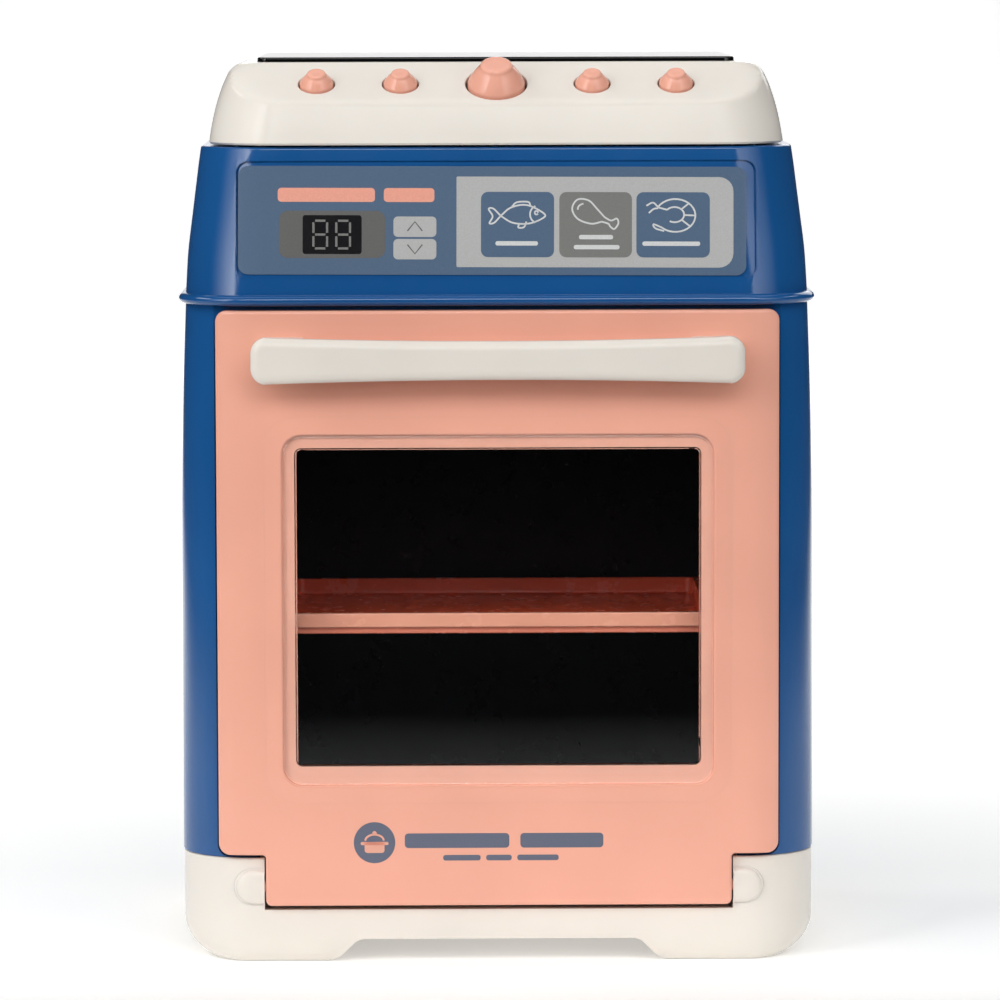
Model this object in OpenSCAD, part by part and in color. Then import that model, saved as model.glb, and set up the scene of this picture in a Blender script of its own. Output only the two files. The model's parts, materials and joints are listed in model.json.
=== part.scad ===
// Toy cooker: a base with four feet, an oven with a drop-down door, and a control housing under a hob.
// Millimetres. +Z is up, the door faces -Y, and +X is to the right as the door is seen from outside.
// The origin is on the floor, in the middle of the whole footprint, handle included.

/* [Body] */
// Width over the rib that runs round the housing
overall_w = 160; // [156:1:166]
// Depth from the door's front face to the back
body_d = 110; // [108:1:116]
// Plan radius of the two front corners
corner_r = 18; // [15:0.5:20]
// Plan radius of the two back corners
back_r = 8; // [6:0.5:10]
// Wall thickness of the housings
wall = 2.2; // [2:0.1:2.4]

/* [Base] */
// Height of the base's cheeks
base_h = 27; // [26.5:0.1:27.2]
// Height of the arches between the feet
arch_h = 6.2; // [5:0.1:7]
// Half-width of the front and back arches at the floor
arch_half = 42.6; // [41:0.1:45]

/* [Door] */
// Width of the door
door_w = 140.6; // [140:0.1:142.4]
// Thickness of the door over its skirt
door_t = 5.6; // [5:0.1:5.6]
// Width of the tab that hangs between the cheeks of the base
tab_w = 117; // [114:0.5:117]
// How far the handle stands out in front of the door
handle_reach = 10; // [10:0.5:12]
// Half-length of the handle
handle_half = 61.2; // [58:0.2:64]
// Half-width of the window's clear middle
window_half = 50.8; // [46:0.1:51]

/* [Oven] */
// Half-width of the oven's cavity
cavity_half = 59; // [58.8:0.1:59.2]
// Height of the tray's rim
tray_rim_z = 87.8; // [80:0.2:95]
// Depth of the tray from front to back
tray_d = 79; // [70:1:80]

/* [Buttons] */
// Slope of the button panel
panel_tilt = 30; // [28:1:32]
// Diameter of the large button
main_d = 14.6; // [14:0.1:15.6]
// Diameter of each small button
small_d = 8.6; // [8:0.1:9.4]

/* [Power] */
// Diameter of an AA cell
cell_d = 14.5; // [14.2:0.1:14.5]
// Length of an AA cell
cell_l = 50.5; // [49.5:0.1:50.5]

/* [Hidden] */
$fn = 48;

// Depth: the handle's front and the back are equally far from the origin
y_back = (body_d + handle_reach) / 2;
y_front = y_back - body_d;
y_handle = -y_back;

// Heights of the seams, from the floor
z_lip = 13.8;
z_seam = 165.8;
z_crown = 205.2;
z_cover = 205.7;
z_crease = 216.1;
z_top = 226;
z_hob = 227.2;

// Half-widths of the shells
half_w = overall_w / 2;
base_half = half_w - 0.2;
seam_half = half_w - 1.6;
crown_half = half_w - 5.5;
cover_half = half_w - 7.7;

// Slope of the control panel's face
face_tilt = 7;
y_face = y_front - 0.2;
function face_y(z) = y_face + (z - z_seam) * tan(face_tilt);

// Front of the top cover, and the button panel's middle
y_cover = y_front + 5.8;
y_crease = y_cover + 2.2;
z_button = 220.7;
y_button = y_crease + (z_button - z_crease) / tan(panel_tilt);
y_ridge = y_crease + (z_top - z_crease) / tan(panel_tilt);
cover_wall = 2;
small_xs = [-45, -24, 24, 45];

// Stack below the button panel, along its normal
stem_end = -6.5;
board_top = -10;
board_t = 1.6;
board_half = 58;
board_bore_x = 34.7;

// Door hinge
hinge_y = y_front + 3;
hinge_z = 19.7;
pin_r = 1.52;
bore_r = 1.6;
boss_r = 4.3;
tab_half = tab_w / 2;
cheek_x = tab_half + 0.4;
door_half = door_w / 2;
door_z0 = 28;
door_z1 = z_seam - 0.6;
tab_z0 = 15.1;
door_skin = 2.2;
y_door_back = y_front + door_t;

// Window: a clear flange in a rabbet round the door's opening, with a thicker middle
window_z0 = 50.3;
window_z1 = 130.5;
rabbet_side = 3.1;
rabbet_low = 4.6;
rabbet_high = 3.3;
rabbet_d = 1.4;

// Handle
handle_z = 152.9;
handle_mid_h = 9.6;
handle_end_h = 11.8;
handle_bar_t = 4.6;
handle_foot = 13.4;
handle_screw_x = 55;

// Front frame, oven cavity and its liner
y_frame = y_door_back + 0.8;
frame_t = 2.2;
y_flange = y_frame + frame_t;
liner_t = 1.6;
cavity_z0 = 36;
cavity_z1 = 152;
y_cavity = y_back - 14;
recess_half = door_half + 0.4;
lamp_y = -10;
tray_front = y_front + 12;
tray_half = 58.4;
tray_well = 54.2;
tray_h = 5.4;

// Battery bay in the control housing's back
bay_x = -12;
bay_z = 185.8;
bay_half = 29.5;
bay_tall = 15.1;
bay_y = y_back - 18.6;
cell_pitch = 15.4;
bay_screw_x = bay_x + bay_half - 2.2;
speaker_x = 48;

// Screws: a pan head on a plain shank, and the pilot hole that takes it
shank_r = 1.2;
pilot_r = 1.25;
head_r = 2.6;
head_t = 1.4;
base_screw_x = 69;
base_screw_ys = [y_front + 18, y_back - 24];
seat_z = 6;
rear_screw_x = 67.3;
rear_screw_zs = [36, 157];
joint_screw_x = 68;
joint_screw_ys = [y_front + 22, y_back - 20];
cover_screw_x = 65;
cover_screw_ys = [y_front + 28, y_back - 16];
liner_screw_x = 63.6;
liner_screw_zs = [33, 155];
e = 0.1;

// ---------- shared shapes ----------

// The plan outline at height z: large front corners, small back ones, anticlockwise from the right
corner_steps = 8;
function corner(x, y, r, a0, z) = [for (i = [0 : corner_steps])
    let (a = a0 + 90 * i / corner_steps) [x + r * cos(a), y + r * sin(a), z]
];
function plan_ring(half, yf, yb, z, r) = concat(
    corner(half - back_r, yb - back_r, back_r, 0, z),
    corner(back_r - half, yb - back_r, back_r, 90, z),
    corner(r - half, yf + r, r, 180, z),
    corner(half - r, yf + r, r, 270, z)
);

// A closed form through plan outlines from the bottom up, each given as [z, half-width, front, back]
// and, where it isn't corner_r, the radius of the front corners
module loft(rows) {
    n = 4 * (corner_steps + 1);
    last = len(rows) - 1;
    points = [for (row = rows)
        each plan_ring(row[1], row[2], row[3], row[0], len(row) > 4 ? row[4] : corner_r)];
    walls = [for (k = [0 : last - 1]) for (j = [0 : n - 1])
        let (a = k * n + j)
        let (b = k * n + (j + 1) % n)
        each [[a, a + n, b], [b, a + n, b + n]]
    ];
    caps = [[for (j = [0 : n - 1]) j], [for (j = [n - 1 : -1 : 0]) last * n + j]];
    polyhedron(points, concat(walls, caps));
}

// A flat rounded rectangle from corner to corner
module round_rect(x0, y0, x1, y1, r) {
    translate([x0 + r, y0]) square([x1 - x0 - 2 * r, y1 - y0]);
    translate([x0, y0 + r]) square([x1 - x0, y1 - y0 - 2 * r]);
    for (x = [x0 + r, x1 - r]) for (y = [y0 + r, y1 - r]) translate([x, y]) circle(r = r);
}

// An outline drawn in X and Z, given thickness from y0 to y1
module upright(y0, y1) {
    translate([0, y1, 0]) rotate([90, 0, 0]) linear_extrude(y1 - y0) children();
}

// A box from corner to corner
module block(a, b) {
    translate(a) cube(b - a);
}

// A copy on each side of the middle
module both_sides() {
    for (s = [0, 1]) mirror([s, 0, 0]) children();
}

// A screw whose head's outer face is at the origin, pointing down
module screw(length) {
    difference() {
        union() {
            translate([0, 0, -head_t]) cylinder(r = head_r, h = head_t, $fn = 32);
            translate([0, 0, -length]) cylinder(r = shank_r, h = length - head_t + 0.01, $fn = 24);
        }
        for (a = [0, 90]) rotate([0, 0, a]) translate([-1.5, -0.3, -0.8]) cube([3, 0.6, 1]);
    }
}

// A point on a smooth curve through a list of points: t runs from 0 to 1 past point i
function at(p, i) = p[max(0, min(len(p) - 1, i))];
function curve(p, i, t) = (
    2 * at(p, i) + (at(p, i + 1) - at(p, i - 1)) * t
    + (2 * at(p, i - 1) - 5 * at(p, i) + 4 * at(p, i + 1) - at(p, i + 2)) * t * t
    + (3 * at(p, i) - at(p, i - 1) - 3 * at(p, i + 1) + at(p, i + 2)) * t * t * t
) / 2;
function unit(v) = v / norm(v);

// A wire of one closed surface along a list of points that runs mostly in Y and Z
module wire(p, r = 0.6) {
    sides = 8;
    per = 4;
    rings = (len(p) - 1) * per + 1;
    path = [for (k = [0 : rings - 1])
        curve(p, min(floor(k / per), len(p) - 2), k == rings - 1 ? 1 : (k % per) / per)];
    points = [for (k = [0 : rings - 1])
        let (ahead = unit(path[min(k + 1, rings - 1)] - path[max(k - 1, 0)]))
        let (across = unit(cross(ahead, cross([1, 0, 0], ahead))))
        let (up = cross(ahead, across))
        for (j = [0 : sides - 1]) path[k] + r * (cos(360 * j / sides) * across + sin(360 * j / sides) * up)
    ];
    walls = [for (k = [0 : rings - 2]) for (j = [0 : sides - 1]) [
        k * sides + j, (k + 1) * sides + j, (k + 1) * sides + (j + 1) % sides, k * sides + (j + 1) % sides
    ]];
    ends = [[for (j = [0 : sides - 1]) j], [for (j = [sides - 1 : -1 : 0]) (rings - 1) * sides + j]];
    polyhedron(points, concat(walls, ends));
}

// The button panel's frame: the panel's outer face at z = 0, up-slope along +Y
module on_button_panel(x = 0) {
    translate([x, y_button, z_button]) rotate([panel_tilt, 0, 0]) children();
}

// The control face's frame at height z: the face at z = 0, up-slope along +Y
module on_control_face(z) {
    translate([0, face_y(z), z]) rotate([90 - face_tilt, 0, 0]) children();
}

// ---------- base ----------

// Rounded underside, drawn in by an eighth of an ellipse at a time
base_round_x = 12;
base_round_y = 5;
base_round_h = 10;
base_rows = [for (a = [0 : 15 : 90]) [
    base_round_h * (1 - cos(a)),
    base_half - base_round_x * (1 - sin(a)),
    y_front + 0.2 + base_round_y * (1 - sin(a)),
    y_back - 0.4 - base_round_y * (1 - sin(a)),
    corner_r - 13 * (1 - sin(a))
]];
base_floor = 9.4;
side_arch_half = 27;
well_x = [48.5, 63];
well_reach = 14;

module base_shell() {
    difference() {
        loft(concat(base_rows, [[base_h - 0.02, base_half, y_front + 0.2, y_back - 0.4]]));
        loft([
            [base_floor, base_half - wall, y_front + 0.2 + wall, y_back - 0.4 - wall],
            [base_h + 1, base_half - wall, y_front + 0.2 + wall, y_back - 0.4 - wall]
        ]);
    }
}

// The arch between two feet, as an outline that narrows upwards
module arch(half) {
    slope = 7.2;
    polygon([[-half - 0.1, -0.1], [-half + slope, arch_h], [half - slope, arch_h], [half + 0.1, -0.1]]);
}

// The bulge that covers a hinge pin: a round bar with a domed end
module hinge_boss() {
    straight = 3.5;
    translate([cheek_x, hinge_y, hinge_z]) rotate([0, 90, 0]) rotate_extrude() polygon(concat(
        [[0, 0], [boss_r, 0]], [for (a = [0 : 15 : 90]) [boss_r * cos(a), straight + boss_r * sin(a)]]
    ));
}

module base() {
    color([0.89, 0.87, 0.83]) difference() {
        union() {
            base_shell();
            both_sides() {
                hinge_boss();
                block(
                    [cheek_x, y_front + 1, base_floor - 1],
                    [cheek_x + wall, y_front + 11.4, base_h - 0.2]
                );
                for (y = base_screw_ys)
                    translate([base_screw_x, y, seat_z]) cylinder(r = 4.2, h = base_h - seat_z);
                block(
                    [cheek_x, y_front + 9.4, base_floor - 1],
                    [cheek_x + 9, y_front + 11.4, base_h - 0.2]
                );
            }
            block([-cheek_x - 1, y_front + 1, base_floor - 1], [cheek_x + 1, y_front + 11.4, z_lip - 0.2]);
            block(
                [-cheek_x - 1, y_front + 9.4, base_floor - 1],
                [cheek_x + 1, y_front + 11.4, base_h - 0.2]
            );
        }
        block([-cheek_x, y_front - 5, z_lip], [cheek_x, y_front + 9.4, base_h + 1]);
        both_sides() {
            translate([cheek_x - 1, hinge_y, hinge_z]) rotate([0, 90, 0]) cylinder(r = bore_r, h = 6);
            for (y = base_screw_ys) {
                translate([base_screw_x, y, -1]) cylinder(r = head_r + 0.3, h = seat_z + 3);
                translate([base_screw_x, y, 0]) cylinder(r = shank_r + 0.2, h = base_h + 1);
            }
            for (y = [y_front + 9, y_back - 9 - well_reach])
                block([well_x[0], y, 2.4], [well_x[1], y + well_reach, base_floor + 0.1]);
        }
        upright(y_front - 1, y_back + 1) arch(arch_half);
        rotate([0, 0, 90]) upright(-half_w - 1, half_w + 1)
            translate([(y_front + y_back) / 2, 0]) arch(side_arch_half);
    }
}

module base_screws() {
    color("silver") both_sides() for (y = base_screw_ys)
        translate([base_screw_x, y, seat_z + 0.6]) rotate([180, 0, 0]) screw(30);
}

// ---------- lower housing ----------

housing_rows = [
    [base_h, half_w, y_front + 0.4, y_back - 0.2],
    [118, half_w - 0.2, y_front + 0.5, y_back - 0.2],
    [145, half_w - 0.8, y_front + 0.6, y_back - 0.2],
    [z_seam - 0.02, seam_half, y_front + 0.7, y_back - 0.2]
];
housing_void = [for (row = housing_rows) [row[0], row[1] - wall, row[2] + wall, y_back - 4.4]];
rear_half = 70;
rear_z0 = 29.5;
rear_z1 = 163;

module lower_housing() {
    color([0.11, 0.31, 0.53]) difference() {
        union() {
            difference() {
                loft(housing_rows);
                difference() {
                    loft(concat(
                        [[base_h - 1, half_w - wall, y_front + 0.4 + wall, y_back - 4.4]], housing_void
                    ));
                    block(
                        [-recess_half - wall, y_front - 1, 0], [recess_half + wall, y_flange, z_seam + 1]
                    );
                    block([-half_w, y_front, z_seam - wall], [half_w, y_back, z_seam + 1]);
                }
            }
            both_sides() {
                for (y = base_screw_ys) {
                    translate([base_screw_x, y, base_h]) cylinder(r = 3.6, h = 14);
                    block([base_screw_x, y - 1, base_h], [half_w - wall, y + 1, base_h + 14]);
                }
                for (z = rear_screw_zs)
                    translate([rear_screw_x, y_back - 4.2, z]) rotate([90, 0, 0]) cylinder(r = 3.2, h = 10);
            }
        }
        // The door's recess, the oven's mouth, and the opening behind
        block([-recess_half, y_front - 2, base_h - 1], [recess_half, y_frame, z_seam + 1]);
        upright(y_frame - 1, y_flange + 1) round_rect(-cavity_half, cavity_z0, cavity_half, cavity_z1, 3);
        upright(y_back - 2.2, y_back + 1)
            round_rect(-rear_half - 0.2, rear_z0 - 0.2, rear_half + 0.2, rear_z1 + 0.2, 5);
        upright(y_back - 6, y_back + 1) round_rect(-62.5, 33, 62.5, 160, 4);
        // Wires and screws through the top deck
        translate([0, 0, z_seam - wall - 1]) linear_extrude(wall + 2)
            round_rect(-55, y_front + 20, 55, y_back - 14, 6);
        both_sides() {
            for (y = base_screw_ys) translate([base_screw_x, y, base_h - 1]) cylinder(r = pilot_r, h = 13);
            for (y = joint_screw_ys)
                translate([joint_screw_x, y, z_seam - 5]) cylinder(r = shank_r + 0.2, h = 6);
            for (z = rear_screw_zs)
                translate([rear_screw_x, y_back, z]) rotate([90, 0, 0]) cylinder(r = pilot_r, h = 13);
            for (z = liner_screw_zs)
                translate([liner_screw_x, y_flange + e, z]) rotate([90, 0, 0])
                    cylinder(r = pilot_r, h = 1.8);
        }
    }
}

// ---------- oven ----------

module cavity_liner() {
    rail_z = tray_rim_z - 1.5;
    color([0.05, 0.06, 0.1]) difference() {
        union() {
            upright(y_flange, y_cavity + liner_t)
                round_rect(
                    -cavity_half - liner_t, cavity_z0 - liner_t,
                    cavity_half + liner_t, cavity_z1 + liner_t, 4
                );
            upright(y_flange, y_flange + liner_t) round_rect(-67, 30.2, 67, 158, 3);
        }
        difference() {
            upright(y_flange - 1, y_cavity) round_rect(-cavity_half, cavity_z0, cavity_half, cavity_z1, 3);
            both_sides()
                block([55.2, tray_front + 4, rail_z - 1.8], [cavity_half + 1, y_cavity + 1, rail_z]);
        }
        both_sides() for (z = liner_screw_zs)
            translate([liner_screw_x, y_flange + 3, z]) rotate([90, 0, 0])
                cylinder(r = shank_r + 0.2, h = 4);
        translate([0, lamp_y, cavity_z1 - 1]) cylinder(r = 2.6, h = 4);
    }
}

module liner_screws() {
    color("silver") both_sides() for (z = liner_screw_zs)
        translate([liner_screw_x, y_flange + liner_t + head_t, z]) rotate([-90, 0, 0]) screw(4.6);
}

// A shallow baking tray that hangs by its rim on the liner's rails
module oven_tray() {
    y1 = tray_front + tray_d;
    color([0.92, 0.66, 0.58]) difference() {
        union() {
            translate([0, 0, tray_rim_z - 1.2]) linear_extrude(1.2)
                round_rect(-tray_half, tray_front, tray_half, y1, 2);
            translate([0, 0, tray_rim_z - tray_h]) linear_extrude(tray_h)
                round_rect(-tray_well, tray_front + 1.2, tray_well, y1, 1.5);
            block([-tray_half, tray_front, tray_rim_z - 3.6], [tray_half, tray_front + 1.6, tray_rim_z]);
        }
        translate([0, 0, tray_rim_z - tray_h + 1.2]) linear_extrude(tray_h)
            round_rect(-tray_well + 1.6, tray_front + 2.8, tray_well - 1.6, y1 - 1.6, 2);
    }
}

module oven_lamp() {
    color([0.95, 0.93, 0.8]) translate([0, lamp_y, cavity_z1]) {
        sphere(r = 2.5);
        cylinder(r = 2.5, h = 6);
        translate([0, 0, liner_t]) cylinder(r = 3.4, h = 1.2);
    }
}

// ---------- back of the oven ----------

module rear_panel() {
    color([0.11, 0.31, 0.53]) difference() {
        upright(y_back - 2.2, y_back - 0.4) round_rect(-rear_half, rear_z0, rear_half, rear_z1, 4.8);
        for (i = [0 : 6]) upright(y_back - 3, y_back) round_rect(-34, 104 + 6 * i, 34, 106.4 + 6 * i, 1.1);
        both_sides() for (z = rear_screw_zs) {
            translate([rear_screw_x, y_back, z]) rotate([90, 0, 0]) cylinder(r = shank_r + 0.2, h = 4);
            translate([rear_screw_x, y_back, z]) rotate([90, 0, 0]) cylinder(r = head_r + 0.2, h = 1.4);
        }
    }
}

module rear_screws() {
    color("silver") both_sides() for (z = rear_screw_zs)
        translate([rear_screw_x, y_back, z]) rotate([-90, 0, 0]) screw(11.5);
}

// ---------- control housing ----------

upper_rows = [
    [z_seam, seam_half, face_y(z_seam), y_back],
    [178.6, seam_half - 0.6, face_y(178.6), y_back],
    [187.2, seam_half - 1.7, face_y(187.2), y_back],
    [196.1, seam_half - 2.8, face_y(196.1), y_back],
    [z_crown - 0.02, crown_half, face_y(z_crown), y_back]
];
upper_void = [for (row = upper_rows) [row[0] - e, row[1] - wall, row[2] + wall, y_back - wall]];
rib_z = 167.2;
rib_h = 2.7;
rib_out = 1.5;
rib_rows = [for (a = [-90 : 30 : 90]) [
    rib_z + sin(a) * rib_h / 2,
    half_w - rib_out * (1 - cos(a)),
    y_face - rib_out + rib_out * (1 - cos(a)),
    y_back
]];
label_z = 187.2;
label_x = -1.2;
label_w = 126.6;
label_h = 27.1;
label_t = 0.3;
recess_x = -0.2;
recess_w = 129.4;
recess_h = 29.2;
recess_d = 0.6;

// The housing's rows drawn in by d all round
function inset_rows(d) = [for (row = upper_rows) [row[0], row[1] - d, row[2] + d, row[3] - d]];

module upper_housing() {
    color([0.11, 0.31, 0.53]) difference() {
        union() {
            difference() {
                union() {
                    loft(upper_rows);
                    loft(rib_rows);
                }
                difference() {
                    loft(upper_void);
                    block([-half_w, y_front, z_crown - wall], [half_w, y_back, z_crown + 1]);
                }
            }
            both_sides() for (y = joint_screw_ys) {
                translate([joint_screw_x, y, z_seam]) cylinder(r = 3.2, h = 12);
                block([joint_screw_x, y - 1, z_seam + 1], [seam_half - wall, y + 1, z_seam + 12]);
            }
        }
        difference() {
            on_control_face(label_z) translate([0, 0, -5]) linear_extrude(8)
                round_rect(
                    recess_x - recess_w / 2, -recess_h / 2, recess_x + recess_w / 2, recess_h / 2, 2.6
                );
            loft(inset_rows(recess_d));
        }
        translate([0, 0, z_crown - wall - 1]) linear_extrude(wall + 2)
            round_rect(-59, y_front + 10, 59, y_back - 12, 6);
        upright(y_back - 3, y_back + 1)
            translate([bay_x, bay_z])
                round_rect(-bay_half - 2, -bay_tall - 0.7, bay_half + 2, bay_tall + 0.7, 2);
        both_sides() {
            for (y = joint_screw_ys)
                translate([joint_screw_x, y, z_seam - 1]) cylinder(r = pilot_r, h = 11);
            for (y = cover_screw_ys)
                translate([cover_screw_x, y, z_crown - 5]) cylinder(r = shank_r + 0.2, h = 6);
        }
        // Speaker grille: a hole in the middle and two rings
        for (ring = [[0, 1], [4.4, 6], [8.8, 12]]) for (i = [1 : ring[1]]) {
            a = 360 * i / ring[1];
            translate([speaker_x + ring[0] * cos(a), y_back + 1, bay_z + ring[0] * sin(a)])
                rotate([90, 0, 0]) cylinder(r = 0.9, h = 4, $fn = 24);
        }
    }
}

module housing_screws() {
    color("silver") both_sides() for (y = joint_screw_ys)
        translate([joint_screw_x, y, z_seam - wall - head_t]) rotate([180, 0, 0]) screw(12);
}

module control_label() {
    color([0.35, 0.43, 0.53]) intersection() {
        on_control_face(label_z) translate([label_x, -0.3, -5]) linear_extrude(8)
            round_rect(-label_w / 2, -label_h / 2, label_w / 2, label_h / 2, 2.5);
        difference() {
            loft(inset_rows(recess_d - label_t));
            loft(inset_rows(recess_d));
        }
    }
}

// ---------- top cover and hob ----------

cover_rows = [
    [z_cover, cover_half, y_cover, y_back - 4],
    [z_cover + 5.4, cover_half - 0.6, y_cover + 1, y_back - 4.4],
    [z_crease, cover_half - 1.9, y_crease, y_back - 5.2],
    [z_crease + 5, cover_half - 3.9, y_crease + 5 / tan(panel_tilt), y_back - 6.6],
    [z_crease + 8, cover_half - 5.7, y_crease + 8 / tan(panel_tilt), y_back - 8],
    [z_crease + 9.4, cover_half - 7.2, y_crease + 9.4 / tan(panel_tilt), y_back - 9.4],
    [z_top - 0.02, cover_half - 9.2, y_ridge, y_back - 11]
];
skin_fall = cover_wall / cos(panel_tilt);
cover_void = [
    [z_cover - 1, cover_half - cover_wall, y_cover + cover_wall, y_back - 6],
    [z_crease - skin_fall + 1, cover_half - 1.8 - cover_wall, y_crease + cover_wall, y_back - 7.2],
    [
        z_crease + 5 - skin_fall, cover_half - 3.9 - cover_wall,
        y_crease + 5 / tan(panel_tilt), y_back - 8.6
    ],
    [z_top - cover_wall, cover_half - 9.2, y_ridge + 0.5, y_back - 11]
];
hob_half = 60.2;
hob_y0 = y_ridge + 1.5;
hob_y1 = y_back - 12.5;
hob_t = 1.9;

module top_cover() {
    color([0.89, 0.87, 0.83]) difference() {
        union() {
            difference() {
                loft(cover_rows);
                loft(cover_void);
            }
            both_sides() {
                for (y = cover_screw_ys) translate([cover_screw_x, y, z_crown]) cylinder(r = 3, h = 13);
                on_button_panel(board_bore_x) translate([0, 0, board_top])
                    cylinder(r = 2.6, h = -board_top - 1);
            }
        }
        on_button_panel() translate([0, 0, -8]) cylinder(r = main_d / 2 + 0.35, h = 12);
        for (x = small_xs) on_button_panel(x) translate([0, 0, -8]) cylinder(r = small_d / 2 + 0.3, h = 12);
        both_sides() {
            for (y = cover_screw_ys)
                translate([cover_screw_x, y, z_crown - 1]) cylinder(r = pilot_r, h = 12);
            on_button_panel(board_bore_x) translate([0, 0, board_top - 1]) cylinder(r = pilot_r, h = 7.5);
        }
        translate([0, 0, z_hob - hob_t]) linear_extrude(3)
            round_rect(-hob_half - 0.2, hob_y0 - 0.2, hob_half + 0.2, hob_y1 + 0.2, 3.2);
    }
}

module cover_screws() {
    color("silver") both_sides() for (y = cover_screw_ys)
        translate([cover_screw_x, y, z_crown - wall - head_t]) rotate([180, 0, 0]) screw(12);
}

module hob_plate() {
    color([0.03, 0.03, 0.04]) translate([0, 0, z_hob - hob_t]) linear_extrude(hob_t)
        round_rect(-hob_half, hob_y0, hob_half, hob_y1, 3);
}

// ---------- buttons and electronics ----------

// A hollow truncated cone with a skirt in the panel's hole, two retaining ears and a stem
module push_button(d, h, top_r, ear_r, ear_half) {
    r = d / 2;
    stem_r = 0.5 * top_r + 0.2;
    rotate_extrude() polygon([
        [0, h], [top_r - 0.5, h], [top_r, h - 0.4], [r, 0.3], [r, -3.5], [r - 1.2, -3.5], [r - 1.2, 0],
        [top_r - 0.6, h - 2], [stem_r, h - 2], [stem_r, stem_end], [0, stem_end]
    ]);
    difference() {
        intersection() {
            translate([0, 0, -3.5]) cylinder(r = ear_r, h = 1.1);
            translate([-ear_r, -ear_half, -4]) cube([2 * ear_r, 2 * ear_half, 2]);
        }
        translate([0, 0, -4]) cylinder(r = r - 0.8, h = 2);
    }
}

module button_main() {
    color([0.92, 0.66, 0.58]) on_button_panel() push_button(main_d, 5.9, 3.5, main_d / 2 + 2, 4);
}

module small_button(i) {
    color([0.92, 0.66, 0.58]) on_button_panel(small_xs[i - 1])
        push_button(small_d, 3.6, 1.9, small_d / 2 + 1.8, 2.4);
}
module button_1() { small_button(1); }
module button_2() { small_button(2); }
module button_3() { small_button(3); }
module button_4() { small_button(4); }

// A silicone dome on the board, which carries the button's stem and springs it back
module dome(x) {
    color([0.75, 0.75, 0.72]) on_button_panel(x) rotate_extrude() polygon([
        [4.6, board_top], [4.6, board_top + 0.9], [3.8, board_top + 1.1], [2.4, stem_end - 0.05],
        [0, stem_end - 0.05], [0, stem_end - 1], [1.7, stem_end - 1],
        [3.1, board_top + 0.4], [3.1, board_top]
    ]);
}
module dome_main() { dome(0); }
module dome_1() { dome(small_xs[0]); }
module dome_2() { dome(small_xs[1]); }
module dome_3() { dome(small_xs[2]); }
module dome_4() { dome(small_xs[3]); }

module circuit_board() {
    color([0.1, 0.4, 0.22]) on_button_panel() translate([0, 0, board_top - board_t]) difference() {
        linear_extrude(board_t) round_rect(-board_half, -9, board_half, 10, 1);
        both_sides() translate([board_bore_x, 0, -1]) cylinder(r = shank_r + 0.2, h = 4);
    }
}

module board_screws() {
    color("silver") both_sides() on_button_panel(board_bore_x)
        translate([0, 0, board_top - board_t - head_t]) rotate([180, 0, 0]) screw(8.5);
}

// The controller, bonded to the board's underside under a blob of black resin
module sound_chip() {
    color([0.06, 0.06, 0.06]) on_button_panel(12) translate([0, 0, board_top - board_t]) rotate([180, 0, 0])
        rotate_extrude() polygon([[0, 0], [5.5, 0], [5.2, 0.7], [4.2, 1.2], [2.4, 1.6], [0, 1.7]]);
}

module speaker() {
    color([0.2, 0.2, 0.22]) translate([speaker_x, y_back - wall - 0.1, bay_z])
        rotate([90, 0, 0]) rotate_extrude()
        polygon([
            [0, 2], [5, 2.4], [11, 0.8], [11.6, 0], [14, 0], [14, 1.6], [12, 2.2], [8, 5], [8, 9], [0, 9]
        ]);
}

module battery_tray() {
    y1 = y_back - wall - 0.1;
    color([0.12, 0.12, 0.13]) difference() {
        union() {
            block(
                [bay_x - bay_half - 1.6, bay_y, bay_z - bay_tall - 1.6],
                [bay_x + bay_half + 1.6, y1, bay_z + bay_tall + 1.6]
            );
            block([bay_x - bay_half - 9, y1 - 2, bay_z - 4], [bay_x + bay_half + 9, y1, bay_z + 4]);
        }
        block(
            [bay_x - bay_half, bay_y + 1.6, bay_z - bay_tall],
            [bay_x + bay_half, y1 + 1, bay_z + bay_tall]
        );
        for (s = [-1, 1]) translate([bay_x + s * (bay_half + 5.4), y1 + 1, bay_z])
            rotate([90, 0, 0]) cylinder(r = shank_r + 0.2, h = 5);
    }
    // The post that takes the battery door's screw
    color([0.12, 0.12, 0.13]) difference() {
        translate([bay_screw_x, y_back - 2.1, bay_z]) rotate([90, 0, 0])
            cylinder(r = 2, h = y_back - 3.2 - bay_y);
        translate([bay_screw_x, y_back - 2, bay_z]) rotate([90, 0, 0]) cylinder(r = pilot_r, h = 9);
    }
}

module tray_screws() {
    y1 = y_back - wall - 0.1;
    color("silver") for (s = [-1, 1]) translate([bay_x + s * (bay_half + 5.4), y1 - 2 - head_t, bay_z])
        rotate([90, 0, 0]) screw(3.3);
}

function cell_z(i) = bay_z + (i - 0.5) * cell_pitch;
cell_y = bay_y + 1.6 + cell_d / 2 + 0.3;

// Two AA cells side by side, laid opposite ways round
module battery_cells() {
    color([0.75, 0.6, 0.25]) for (i = [0, 1])
        translate([bay_x, cell_y, cell_z(i)]) rotate([0, i == 0 ? 90 : -90, 0]) {
        translate([0, 0, -cell_l / 2]) cylinder(r = cell_d / 2, h = cell_l - 1.2);
        translate([0, 0, cell_l / 2 - 1.21]) cylinder(r = 2.7, h = 1.21);
    }
}

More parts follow.
